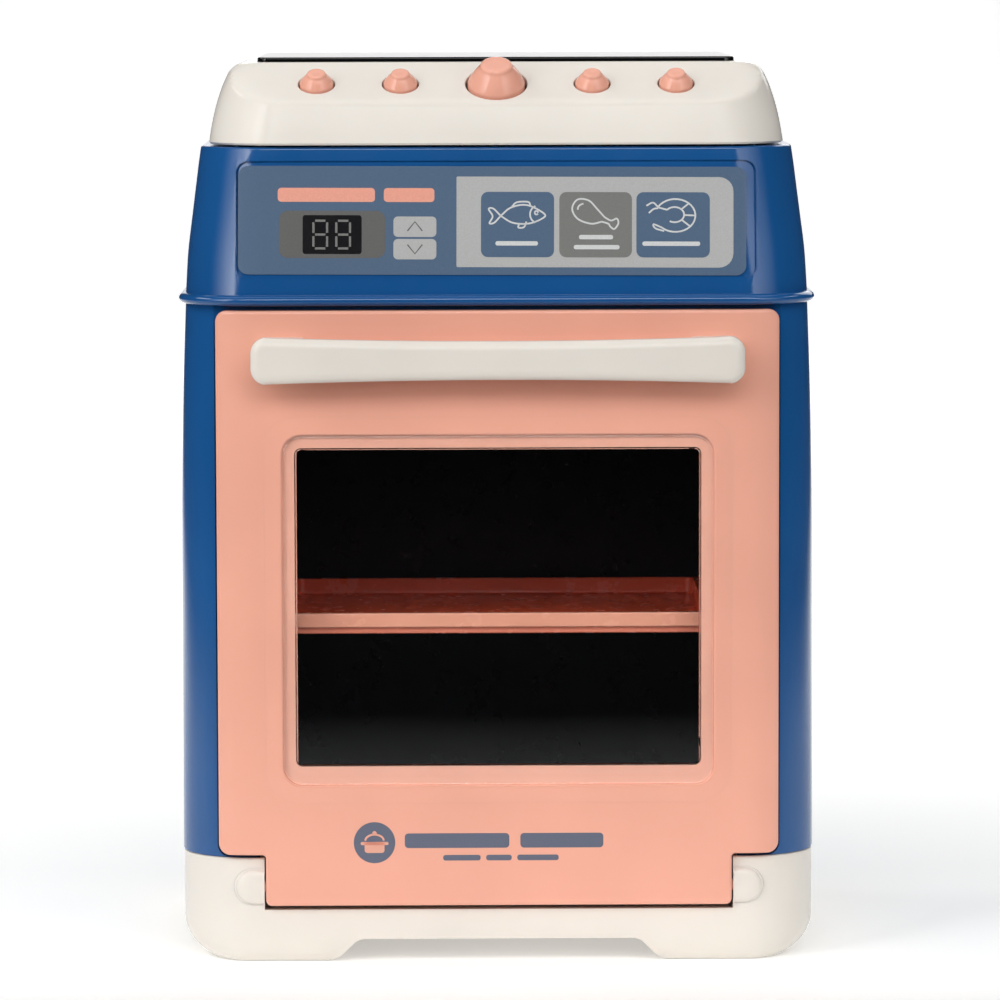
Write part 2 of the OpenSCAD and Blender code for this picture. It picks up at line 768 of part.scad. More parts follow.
// Plates at both ends of the bay, with a wound spring on each negative end
module battery_contacts() {
    pad = bay_half - 0.5;
    color("silver") for (i = [0, 1])
        translate([bay_x, cell_y, cell_z(i)]) rotate([0, i == 0 ? 90 : -90, 0]) {
        for (s = [-1, 1]) translate([-5, -5, s * pad - 0.2]) cube([10, 10, 0.4]);
        for (k = [0 : 2]) translate([0, 0, -pad + 0.3 + 1.1 * k]) rotate_extrude()
            translate([3.6 - 0.4 * k, 0]) circle(r = 0.4, $fn = 16);
        translate([0, 0, pad - 3.35]) cylinder(r = 1.6, h = 3.2);
    }
}

module battery_door() {
    color([0.11, 0.31, 0.53]) difference() {
        upright(y_back - 2, y_back - 0.2) translate([bay_x, bay_z])
            round_rect(-bay_half - 1.7, -bay_tall - 0.4, bay_half + 1.7, bay_tall + 0.4, 1.8);
        translate([bay_screw_x, y_back, bay_z]) rotate([90, 0, 0]) cylinder(r = shank_r + 0.2, h = 4);
        translate([bay_screw_x, y_back, bay_z]) rotate([90, 0, 0])
            cylinder(r = head_r + 0.2, h = head_t + 0.1);
    }
}

module battery_door_screw() {
    color("silver") translate([bay_screw_x, y_back, bay_z]) rotate([-90, 0, 0]) screw(8);
}

module battery_leads() {
    color([0.7, 0.1, 0.1]) for (s = [-1, 1]) wire([
        [bay_x + s * 8, bay_y - 0.8, bay_z + 6], [bay_x + s * 8, bay_y - 6, 196],
        [bay_x + s * 5, 10, z_cover - 4.5], [bay_x + s * 3, -8, z_cover - 0.5],
        [bay_x + s * 3, -19.5, z_cover + 1]
    ]);
}

module speaker_leads() {
    color([0.15, 0.15, 0.15]) for (s = [-1, 1]) wire([
        [speaker_x + s * 3, y_back - wall - 10, bay_z], [speaker_x + s * 3, y_back - 22, 194],
        [speaker_x - 12 + s * 2, 10, z_cover - 4.5], [speaker_x - 20 + s * 2, -8, z_cover - 0.5],
        [speaker_x - 20 + s * 2, -19.5, z_cover + 1]
    ]);
}

module lamp_leads() {
    color([0.85, 0.85, 0.2]) for (s = [-1, 1]) wire([
        [s * 1.3, lamp_y, cavity_z1 + 6.7], [s * 1.3, lamp_y, 186],
        [s * 1.3, lamp_y - 1, 200], [s * 1.3, -19.5, 207.5]
    ], 0.5);
}

// ---------- door ----------

// The door's face: a rounded panel, and a tab that hangs between the cheeks
module door_outline(inset = 0) {
    round_rect(-door_half + inset, door_z0 + inset, door_half - inset, door_z1 - inset, 2.6 - inset / 2);
    round_rect(-tab_half + inset, tab_z0 + inset, tab_half - inset, 60, 1.3);
}

// An upright block whose front corners follow the housing's, drawn in by d
module body_block(d) {
    translate([0, 0, tab_z0 - 1]) linear_extrude(z_seam - tab_z0)
        round_rect(d - half_w, y_front + d, half_w - d, 20, corner_r - d);
}

module door_panel() {
    rim = 2;
    rib_x = 61;
    color([0.92, 0.66, 0.58]) {
        difference() {
            union() {
                difference() {
                    intersection() {
                        upright(y_front, y_door_back) door_outline();
                        body_block(0);
                    }
                    intersection() {
                        upright(y_front + door_skin, y_door_back + 1) door_outline(rim);
                        body_block(door_skin);
                    }
                }
                upright(y_front + 1, y_door_back) round_rect(
                    -window_half - rim, window_z0 - rim, window_half + rim, window_z1 + rim, 3
                );
                both_sides() {
                    translate([handle_screw_x, y_front + 4, handle_z]) rotate([90, 0, 0])
                        cylinder(r = 4, h = 3);
                    block(
                        [tab_half - 7, y_front + 1, tab_z0 + 1], [tab_half - 1, y_door_back, hinge_z + 4]
                    );
                    block([rib_x, y_front + 1.5, door_z0 + 1], [rib_x + 1.6, y_door_back - 1, door_z1 - 1]);
                }
            }
            upright(y_front - 1, y_door_back + 1)
                round_rect(-window_half, window_z0, window_half, window_z1, 1.7);
            upright(y_front - 1, y_front + rabbet_d) round_rect(
                -window_half - rabbet_side, window_z0 - rabbet_low,
                window_half + rabbet_side, window_z1 + rabbet_high, 4.9
            );
            both_sides() translate([handle_screw_x, y_front + 7, handle_z]) rotate([90, 0, 0])
                cylinder(r = shank_r + 0.2, h = 9);
        }
        both_sides() translate([tab_half - 2, hinge_y, hinge_z]) rotate([0, 90, 0])
            cylinder(r = pin_r, h = 6.4);
    }
}

module door_window() {
    slack = 0.25;
    color([0.8, 0.85, 0.88, 0.4]) {
        upright(y_front + 0.2, y_front + rabbet_d) round_rect(
            -window_half - rabbet_side + slack, window_z0 - rabbet_low + slack,
            window_half + rabbet_side - slack, window_z1 + rabbet_high - slack, 4.7
        );
        upright(y_front + rabbet_d - 0.2, y_front + 2.9) round_rect(
            -window_half + slack, window_z0 + slack, window_half - slack, window_z1 - slack, 1.5
        );
    }
}

// The handle's front outline: a bar that widens towards its ends
function handle_edge(x) = (handle_mid_h + (handle_end_h - handle_mid_h) * pow(x / handle_half, 2)) / 2;
handle_steps = [-1 : 0.1 : 1];

module handle_outline(x0, x1) {
    intersection() {
        polygon(concat(
            [for (t = handle_steps) [t * handle_half, handle_z + handle_edge(t * handle_half)]],
            [for (t = handle_steps) [-t * handle_half, handle_z - handle_edge(t * handle_half)]]
        ));
        round_rect(-handle_half, handle_z - 6, handle_half, handle_z + 6, 3.6);
        translate([x0, handle_z - 10]) square([x1 - x0, 20]);
    }
}

module door_handle() {
    color([0.89, 0.87, 0.83]) difference() {
        union() {
            upright(y_handle, y_handle + handle_bar_t) handle_outline(-handle_half, handle_half);
            upright(y_handle + 1, y_front) handle_outline(handle_half - handle_foot, handle_half);
            upright(y_handle + 1, y_front) handle_outline(-handle_half, handle_foot - handle_half);
        }
        both_sides() translate([handle_screw_x, y_front + 1, handle_z]) rotate([90, 0, 0])
            cylinder(r = pilot_r, h = 8);
    }
}

module handle_screws() {
    color("silver") both_sides() translate([handle_screw_x, y_front + 4 + head_t, handle_z])
        rotate([-90, 0, 0]) screw(12);
}

base();
base_screws();
lower_housing();
cavity_liner();
liner_screws();
oven_tray();
oven_lamp();
rear_panel();
rear_screws();
upper_housing();
housing_screws();
control_label();
top_cover();
cover_screws();
hob_plate();
circuit_board();
board_screws();
sound_chip();
dome_main();
dome_1();
dome_2();
dome_3();
dome_4();
speaker();
battery_tray();
tray_screws();
battery_contacts();
battery_cells();
battery_door();
battery_door_screw();
battery_leads();
speaker_leads();
lamp_leads();
door_panel();
door_window();
door_handle();
handle_screws();
button_main();
button_1();
button_2();
button_3();
button_4();
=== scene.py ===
import json
from math import atan2, ceil, cos, pi, radians, sin, tan

import bmesh
import bpy
import numpy as np
from mathutils import Matrix, Vector


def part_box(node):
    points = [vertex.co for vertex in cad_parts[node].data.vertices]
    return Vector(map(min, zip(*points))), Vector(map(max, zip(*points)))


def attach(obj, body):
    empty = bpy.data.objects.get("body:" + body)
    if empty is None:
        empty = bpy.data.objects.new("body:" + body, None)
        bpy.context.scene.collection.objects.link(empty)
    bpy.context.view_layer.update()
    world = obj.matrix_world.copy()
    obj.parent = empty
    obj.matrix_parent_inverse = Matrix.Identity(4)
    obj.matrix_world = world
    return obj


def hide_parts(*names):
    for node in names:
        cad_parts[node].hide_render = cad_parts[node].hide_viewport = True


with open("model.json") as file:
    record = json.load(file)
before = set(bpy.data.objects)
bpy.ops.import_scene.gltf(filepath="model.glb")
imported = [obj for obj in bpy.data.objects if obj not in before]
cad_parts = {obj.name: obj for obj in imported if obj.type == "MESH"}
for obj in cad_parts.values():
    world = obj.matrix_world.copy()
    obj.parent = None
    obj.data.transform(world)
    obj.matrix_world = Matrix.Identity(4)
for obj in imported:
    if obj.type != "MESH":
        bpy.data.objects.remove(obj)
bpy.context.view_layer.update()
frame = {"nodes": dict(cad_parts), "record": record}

# Toy cooker: the looks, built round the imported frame. Shapes are made in millimetres, in the
# frame's own axes, and become metres when a piece is made.
MM = 0.001


def box(node):
    """A CAD node's lowest and highest corners, in millimetres."""
    lo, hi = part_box(node)
    return lo / MM, hi / MM


# ---------- sizes from the frame ----------

base_lo, base_hi = box("base")
lower_lo, lower_hi = box("lower_housing")
upper_lo, upper_hi = box("upper_housing")
cover_lo, cover_hi = box("top_cover")
hob_lo, hob_hi = box("hob_plate")
door_lo, door_hi = box("door_panel")
window_lo, window_hi = box("door_window")
handle_lo, handle_hi = box("door_handle")
tray_lo, tray_hi = box("oven_tray")
liner_lo, liner_hi = box("cavity_liner")
rear_lo, rear_hi = box("rear_panel")
hatch_lo, hatch_hi = box("battery_door")

CORNER = 18.0
BACK_CORNER = 8.0
WALL = 2.2
SEAM_Z = upper_lo.z
CROWN_Z = upper_hi.z
FACE_TILT = radians(7)
FACE_Y = lower_lo.y - 0.6
PANEL_TILT = radians(30)
CREASE_Y = cover_lo.y + 2.2
CREASE_Z = 216.1
PANEL_Z = 220.7
PANEL_Y = CREASE_Y + (PANEL_Z - CREASE_Z) / tan(PANEL_TILT)
TAB_HALF = 58.5
CHEEK_X = TAB_HALF + 0.4
SHOULDER_Z = 28.0
HINGE_Y = door_lo.y + 3
HINGE_Z = 19.7
CAVITY_HALF = 59.0
CAVITY_Z = (36.0, 152.0)
FRAME_Y = door_hi.y + 0.8
LABEL_Z = 187.2
SPEAKER_X, SPEAKER_Z = 48, 185.8
SCREW_HEAD_R = 2.6
SCREW_HEAD_T = 1.4

# ---------- meshes ----------


class Shape:
    """Points in millimetres, the faces between them, and each face's material number."""

    def __init__(self, points, faces, paint=0):
        self.points = np.asarray(points, float).reshape(-1, 3)
        self.faces = [tuple(f) for f in faces]
        self.paint = [paint] * len(self.faces) if isinstance(paint, int) else list(paint)

    def __add__(self, other):
        shift = len(self.points)
        faces = [tuple(i + shift for i in f) for f in other.faces]
        return Shape(np.vstack([self.points, other.points]), self.faces + faces, self.paint + other.paint)

    def moved(self, matrix):
        m = np.array(matrix, float)
        return Shape(self.points @ m[:3, :3].T + m[:3, 3], self.faces, self.paint)

    def flipped(self):
        return Shape(self.points, [f[::-1] for f in self.faces], self.paint)

    def mirrored(self):
        return Shape(self.points * [-1, 1, 1], self.faces, self.paint).flipped()

    def painted(self, number):
        return Shape(self.points, self.faces, number)


def joined(shapes):
    """Several shapes as one."""
    result = shapes[0]
    for shape in shapes[1:]:
        result = result + shape
    return result


def both_sides(shape):
    return shape + shape.mirrored()


def turn(angle, axis):
    return Matrix.Rotation(angle, 4, axis)


def at(x=0.0, y=0.0, z=0.0):
    return Matrix.Translation((x, y, z))


# An outline drawn in X and Y stands up facing the front when it is turned this way
UPRIGHT = turn(pi / 2, "X")
# A screw pointing down points to the front, with its head at the back, when it is turned this way
HEAD_BACK = turn(-pi / 2, "X")

FACING_BACK = turn(pi, "Z") @ UPRIGHT


def stood(shape, y, z=0.0):
    """A shape drawn in X and Y, stood up to face the front at depth y."""
    return shape.moved(at(y=y, z=z) @ UPRIGHT)


def rounded(corners, steps=8):
    """An outline through (x, y, radius) corners, anticlockwise: rows of x, y and the outward normal."""
    rows = []
    for i, (x, y, r) in enumerate(corners):
        here = np.array([x, y], float)
        d0 = here - np.array(corners[i - 1][:2], float)
        d1 = np.array(corners[(i + 1) % len(corners)][:2], float) - here
        d0, d1 = d0 / np.linalg.norm(d0), d1 / np.linalg.norm(d1)
        swing = atan2(d0[0] * d1[1] - d0[1] * d1[0], float(d0 @ d1))
        side = 1 if swing > 0 else -1
        normal = np.array([d0[1], -d0[0]])
        centre = here - d0 * r * tan(abs(swing) / 2) - side * r * normal
        start = atan2(normal[1], normal[0])
        for k in range(steps + 1):
            a = start + swing * k / steps
            n = np.array([cos(a), sin(a)])
            rows.append([*(centre + side * r * n), *n])
    return np.array(rows)


def rect(x0, y0, x1, y1, r, steps=8):
    return rounded([(x0, y0, r), (x1, y0, r), (x1, y1, r), (x0, y1, r)], steps)


def facing(lo, hi, gap, r, steps=8):
    """The outline of a box seen from the front, wider by gap all round."""
    return rect(lo.x - gap, lo.z - gap, hi.x + gap, hi.z + gap, r, steps)


def circle(r, steps=64, x=0.0, y=0.0):
    a = np.arange(steps) * 2 * pi / steps
    return np.column_stack([x + r * np.cos(a), y + r * np.sin(a), np.cos(a), np.sin(a)])


def traced(points):
    """An outline through points, anticlockwise, with its normals worked out from their neighbours."""
    p = np.asarray(points, float)
    along = np.roll(p, -1, 0) - np.roll(p, 1, 0)
    along /= np.linalg.norm(along, axis=1)[:, None]
    return np.column_stack([p, along[:, 1], -along[:, 0]])


def ring(outline, inset, z):
    return np.column_stack([outline[:, :2] - inset * outline[:, 2:], np.full(len(outline), z)])


def stacked(rows):
    """Rings through rows of outline, inset and height."""
    return [ring(*row) for row in rows]


def loft(rings, closed=False):
    """A closed skin over rings of equal length. The ends are flat faces, or closed joins last to first."""
    n, count = len(rings[0]), len(rings)
    faces = []
    for k in range(count if closed else count - 1):
        a, b = k * n, (k + 1) % count * n
        faces += [(a + j, a + (j + 1) % n, b + (j + 1) % n, b + j) for j in range(n)]
    if not closed:
        faces += [tuple(range(n - 1, -1, -1)), tuple(range((count - 1) * n, count * n))]
    return Shape(np.vstack(rings), faces)


def quarter(steps):
    return [pi / 2 * k / steps for k in range(steps + 1)]


def slab(outline, z0, z1, low=0.0, high=0.0, steps=4):
    """An outline given thickness from z0 to z1, with its lower and upper edges rounded."""
    bottom = [(low * (1 - sin(a)), z0 + low * (1 - cos(a))) for a in quarter(steps)]
    top = [(high * (1 - cos(a)), z1 - high * (1 - sin(a))) for a in quarter(steps)]
    stack = (bottom if low else [(0, z0)]) + (top if high else [(0, z1)])
    return loft(stacked((outline, *row) for row in stack))


def block(lo, hi):
    """A plain block between two corners, for cutting or as a hidden wall."""
    corners = [(lo[0], lo[1]), (hi[0], lo[1]), (hi[0], hi[1]), (lo[0], hi[1])]
    return slab(np.array([(x, y, 0, 0) for x, y in corners]), lo[2], hi[2])


def bar(lo, hi, r, edge):
    """A block with rounded corners and edges."""
    return slab(rect(lo[0], lo[1], hi[0], hi[1], r, 3), lo[2], hi[2], edge, edge, 3)


def lathe(profile, steps=64):
    """A solid turned round Z from (radius, z) points that start and end on the axis, going up outside."""
    rings = [[(r * cos(2 * pi * k / steps), r * sin(2 * pi * k / steps), z)
              for k in range(steps)] for r, z in profile[1:-1]]
    shape = loft([np.array(r) for r in rings])
    n, first, last = len(shape.points), profile[0][1], profile[-1][1]
    faces = shape.faces[:-2]
    top = n - steps
    faces += [(n, (k + 1) % steps, k) for k in range(steps)]
    faces += [(n + 1, top + k, top + (k + 1) % steps) for k in range(steps)]
    return Shape(np.vstack([shape.points, [[0, 0, first], [0, 0, last]]]), faces)


def eased(rows, steps=4):
    """Rows of numbers whose last number says how far from it the corner there is rounded."""
    result = []
    for i, row in enumerate(rows):
        here, reach = np.array(row[:-1], float), row[-1]
        if not reach:
            result.append(here)
            continue
        before = np.array(rows[i - 1][:-1], float) - here
        after = np.array(rows[i + 1][:-1], float) - here
        a = here + before * reach / np.linalg.norm(before)
        b = here + after * reach / np.linalg.norm(after)
        for t in np.linspace(0, 1, steps + 1):
            result.append((1 - t) ** 2 * a + 2 * t * (1 - t) * here + t * t * b)
    return result


def to_bmesh(shape):
    bm = bmesh.new()
    points = [bm.verts.new(p) for p in shape.points]
    for f, number in zip(shape.faces, shape.paint):
        face = bm.faces.new([points[i] for i in f])
        face.material_index = number
    return bm


def from_bmesh(bm):
    bm.verts.index_update()
    shape = Shape([v.co for v in bm.verts], [[v.index for v in f.verts] for f in bm.faces],
                  [f.material_index for f in bm.faces])
    bm.free()
    return shape


def combined(shape, tool, operation):
    """shape with tool cut away, joined on or kept in common, by an exact boolean in millimetres."""
    objects = []
    for s in (shape, tool):
        mesh = bpy.data.meshes.new("scratch")
        bm = to_bmesh(s)
        bm.to_mesh(mesh)
        bm.free()
        o = bpy.data.objects.new("scratch", mesh)
        bpy.context.scene.collection.objects.link(o)
        objects.append(o)
    step = objects[0].modifiers.new("step", "BOOLEAN")
    step.operation = operation
    step.object = objects[1]
    step.solver = "EXACT"
    bpy.context.view_layer.update()
    made = bpy.data.meshes.new_from_object(objects[0].evaluated_get(bpy.context.evaluated_depsgraph_get()))
    bm = bmesh.new()
    bm.from_mesh(made)
    bmesh.ops.remove_doubles(bm, verts=bm.verts, dist=0.001)
    bmesh.ops.dissolve_degenerate(bm, edges=bm.edges, dist=0.001)
    for o in objects:
        mesh = o.data
        bpy.data.objects.remove(o)
        bpy.data.meshes.remove(mesh)
    bpy.data.meshes.remove(made)
    return from_bmesh(bm)


def cut(shape, *tools):
    for tool in tools:
        shape = combined(shape, tool, "DIFFERENCE")
    return shape


def fused(shape, *tools):
    for tool in tools:
        shape = combined(shape, tool, "UNION")
    return shape


def softened(shape, width, where, angle=25, segments=3):
    """shape with the sharp edges whose middle passes the test where(x, y, z) rounded."""
    bm = to_bmesh(shape)
    limit = radians(angle)
    edges = [e for e in bm.edges if len(e.link_faces) == 2 and e.calc_face_angle(0) > limit
             and where(*((e.verts[0].co + e.verts[1].co) / 2))]
    bmesh.ops.bevel(bm, geom=edges, offset=width, offset_type="OFFSET", segments=segments, profile=0.5,
                    affect="EDGES", clamp_overlap=False, miter_outer="ARC", loop_slide=True)
    bmesh.ops.remove_doubles(bm, verts=bm.verts, dist=0.001)
    return from_bmesh(bm)


def sliced(shape, xs):
    """shape with extra edges where it crosses the planes X = xs, so that it can bend there."""
    bm = to_bmesh(shape)
    for x in xs:
        bmesh.ops.bisect_plane(bm, geom=bm.verts[:] + bm.edges[:] + bm.faces[:], dist=0.0001,
                               plane_co=(x, 0, 0), plane_no=(1, 0, 0))
    return from_bmesh(bm)


def piece(name, shape, body, materials, replaces=(), sharp=32):
    """A finished piece that rides on a body and takes the place of CAD nodes."""
    mesh = bpy.data.meshes.new(name)
    bm = to_bmesh(Shape(shape.points * MM, shape.faces, shape.paint))
    bmesh.ops.recalc_face_normals(bm, faces=bm.faces)
    bm.to_mesh(mesh)
    bm.free()
    for material in materials if isinstance(materials, (list, tuple)) else [materials]:
        mesh.materials.append(material)
    mesh.polygons.foreach_set("use_smooth", [True] * len(mesh.polygons))
    mesh.set_sharp_from_angle(angle=radians(sharp))
    o = bpy.data.objects.new(name, mesh)
    bpy.context.scene.collection.objects.link(o)
    weighted = o.modifiers.new("normals", "WEIGHTED_NORMAL")
    weighted.keep_sharp = True
    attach(o, body)
    if replaces:
        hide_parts(*replaces)
    return o


# ---------- materials ----------


def srgb(r, g, b):
    """A colour given as 0 to 255, as the shader wants it."""
    return [((c / 255 + 0.055) / 1.055) ** 2.4 if c > 10.3 else c / 255 / 12.92 for c in (r, g, b)] + [1.0]


class Nodes:
    """A material with one Principled shader, and short calls that make the nodes it needs."""

    def __init__(self, name):
        self.material = bpy.data.materials.new(name)
        self.material.use_nodes = True
        self.tree = self.material.node_tree
        self.shader = self.tree.nodes["Principled BSDF"]
        self.place = self.new("ShaderNodeTexCoord").outputs["Object"]

    def new(self, kind, inputs=None, **settings):
        node = self.tree.nodes.new(kind)
        for key, value in settings.items():
            setattr(node, key, value)
        for key, value in (inputs or {}).items():
            self.plug(node.inputs[key], value)
        return node

    def plug(self, socket, value):
        """Feeds a socket from another node, or sets the plain value given."""
        if isinstance(value, bpy.types.NodeSocket):
            self.tree.links.new(value, socket)
        else:
            socket.default_value = value

    def calc(self, operation, *values):
        return self.new("ShaderNodeMath", dict(enumerate(values)), operation=operation).outputs[0]

    def noise(self, size_mm, detail=3.0, roughness=0.5, stretch=None):
        """A noise from 0 to 1 whose features are about size_mm across."""
        vector = self.place
        if stretch:
            vector = self.new("ShaderNodeMapping", {"Vector": vector, "Scale": stretch}).outputs["Vector"]
        inputs = {"Vector": vector, "Scale": 1 / (size_mm * MM), "Detail": detail, "Roughness": roughness}
        return self.new("ShaderNodeTexNoise", inputs).outputs["Fac"]

    def span(self, value, low, high, to_low=0.0, to_high=1.0):
        inputs = {"Value": value, "From Min": low, "From Max": high, "To Min": to_low, "To Max": to_high}
        return self.new("ShaderNodeMapRange", inputs).outputs["Result"]

    def mixed(self, share, a, b):
        return self.new("ShaderNodeMix", {0: share, 6: a, 7: b}, data_type="RGBA").outputs[2]

    def bump(self, height, distance_mm, strength=1.0, under=None):
        inputs = {"Height": height, "Distance": distance_mm * MM, "Strength": strength}
        if under:
            inputs["Normal"] = under
        return self.new("ShaderNodeBump", inputs).outputs["Normal"]

    def set(self, **values):
        for key, value in values.items():
            self.plug(self.shader.inputs[key.replace("_", " ").title().replace("Ior", "IOR")], value)


def shaded(colour, share):
    return [c * share for c in colour[:3]] + [1.0]


def moulded(name, colour, rough=0.2, peel=0.004, depth=0.93, scatter=0.0, shine=0.5):
    """Glossy moulded plastic: faint flow marks in the colour, uneven gloss, orange peel and slow waviness."""
    m = Nodes(name)
    flow = m.noise(38, 2)
    cloud = m.noise(6, 4, 0.6)
    tone = m.mixed(m.span(flow, 0.3, 0.7), shaded(colour, depth), colour)
    gloss = m.span(cloud, 0.3, 0.7, rough * 0.8, rough * 1.25)
    slow = m.bump(m.noise(24, 1), 0.05)
    fine = m.bump(m.noise(0.9, 2), peel, under=slow)
    m.set(base_color=tone, roughness=gloss, normal=fine, ior=1.5, specular_ior_level=shine)
    if scatter:
        m.set(subsurface_weight=scatter, subsurface_radius=(1.0, 0.8, 0.6), subsurface_scale=0.0015)
    return m.material


def printed(name, colour):
    """Ink on film, with the fine dots of the print in its tone."""
    m = Nodes(name)
    dots = m.noise(0.35, 1)
    tone = m.mixed(m.span(dots, 0.35, 0.65), shaded(colour, 0.93), colour)
    gloss = m.span(m.noise(4, 3), 0.3, 0.7, 0.136, 0.184)
    m.set(base_color=tone, roughness=gloss, normal=m.bump(m.noise(7, 2), 0.01))
    return m.material


def metal(name, colour, rough):
    """Plated or brushed metal with fine streaks in its gloss."""
    m = Nodes(name)
    streak = m.noise(0.3, 3, 0.6, (1, 6, 1))
    tone = m.mixed(m.span(m.noise(2, 3), 0.35, 0.65), shaded(colour, 0.8), colour)
    gloss = m.span(streak, 0.3, 0.7, rough * 0.7, rough * 1.4)
    m.set(base_color=tone, roughness=gloss, normal=m.bump(streak, 0.004), metallic=1.0)
    return m.material


def rubbery(name, colour, rough=0.55):
    """Soft rubber or wire insulation with a dull skin."""
    m = Nodes(name)
    tone = m.mixed(m.span(m.noise(3, 4), 0.3, 0.7), shaded(colour, 0.85), colour)
    m.set(base_color=tone, roughness=m.span(m.noise(1, 3), 0.3, 0.7, rough * 0.85, rough * 1.15),
          normal=m.bump(m.noise(0.5, 3), 0.01))
    return m.material


def clear(name, colour):
    """Clear moulded plastic with dust and hairline scratches that dull small spots."""
    m = Nodes(name)
    cells = m.new("ShaderNodeTexVoronoi", {"Vector": m.place, "Scale": 1 / (5 * MM)}).outputs["Distance"]
    dust = m.span(cells, 0.01, 0.02, 1.0, 0.0)
    scratch = m.span(m.noise(5, 1, 0.5, (9, 1, 1.6)), 0.74, 0.75, 0.0, 0.5)
    worn = m.calc("MAXIMUM", dust, scratch)
    m.set(base_color=colour, roughness=m.span(worn, 0, 1, 0.012, 0.09), ior=1.46, transmission_weight=1.0,
          normal=m.bump(m.noise(30, 1), 0.03))
    # Lamps shine through the clear plastic
    through = m.new("ShaderNodeBsdfTransparent", {"Color": colour}).outputs[0]
    shadow = m.new("ShaderNodeLightPath").outputs["Is Shadow Ray"]
    either = m.new("ShaderNodeMixShader", {0: shadow, 1: m.shader.outputs[0], 2: through}).outputs[0]
    m.tree.links.new(either, m.tree.nodes["Material Output"].inputs["Surface"])
    return m.material


cream = moulded("cream_plastic", srgb(232, 226, 217), 0.2, scatter=0.15, shine=0.25)
blue = moulded("blue_plastic", srgb(25, 84, 144), 0.13, depth=0.9)
pink = moulded("pink_plastic", srgb(240, 174, 152), 0.17, scatter=0.12, shine=0.4)
navy = moulded("navy_plastic", srgb(4, 5, 13), 0.3, shine=0.15)
glassy = clear("clear_plastic", srgb(243, 247, 248))
steel = metal("zinc_steel", srgb(196, 196, 200), 0.3)
nickel = metal("nickel", srgb(215, 213, 208), 0.2)
# The label's inks, in the order of their numbers on its faces
INKS = [printed(f"label_{ink}", srgb(*rgb)) for ink, rgb in (
    ("blue", (88, 109, 134)), ("light", (184, 185, 184)), ("grey", (106, 106, 105)),
    ("mid_grey", (127, 128, 125)), ("dark", (28, 28, 30)), ("white", (214, 216, 216)),
    ("coral", (240, 168, 148)))]
mark_ink = printed("mark_ink", srgb(98, 104, 122))

# ---------- shells ----------


def face_y(z):
    return FACE_Y + (z - SEAM_Z) * tan(FACE_TILT)


def plan(half, front, back, corner=CORNER, steps=14):
    """The outline of the body seen from above: large front corners and small back ones."""
    return rounded([(-half, front, corner), (half, front, corner), (half, back, BACK_CORNER),
                    (-half, back, BACK_CORNER)], steps)


def body_rings(rows, inset=0.0):
    """Rings through rows of half-width, front, back, height and, if it isn't CORNER, front corner radius."""
    return [ring(plan(*row[:3], *row[4:]), inset, row[3]) for row in rows]


def arch(half):
    """The outline of the gap between two feet: sloping sides that flare out at the floor."""
    side = [(half + 3.4, -3, 0.5), (half + 1.6, -0.5, 1), (half - 2.6, 1.3, 5), (half - 7.2, 6.2, 4)]
    return rounded(side + [(-x, z, r) for x, z, r in side[::-1]], 6)


def lip(row, r, steps=3):
    """Rows that round an outer top edge of radius r at the height in row."""
    half, front, back, z = row
    inward = [(r * (1 - cos(a)), z - r * (1 - sin(a))) for a in quarter(steps)]
    return [(half - d, front + d, back - d, height) for d, height in inward]


def screw(length):
    """A pan-head screw with a cross recess, its head's outer face at the origin, pointing down."""
    shank, r = 1.2, SCREW_HEAD_R
    profile = [(0, -length), (0.5, -length), (shank, -length + 1.2), (shank, -SCREW_HEAD_T)]
    profile += [(r - 0.15, -SCREW_HEAD_T), (r, -SCREW_HEAD_T + 0.2)]
    profile += [(r * cos(a), -0.75 + 0.75 * sin(a)) for a in quarter(6)]
    cross = [block((-1.45, -0.28, -0.85), (1.45, 0.28, 1)), block((-0.28, -1.45, -0.85), (0.28, 1.45, 1))]
    return cut(lathe(profile, 40), *cross)


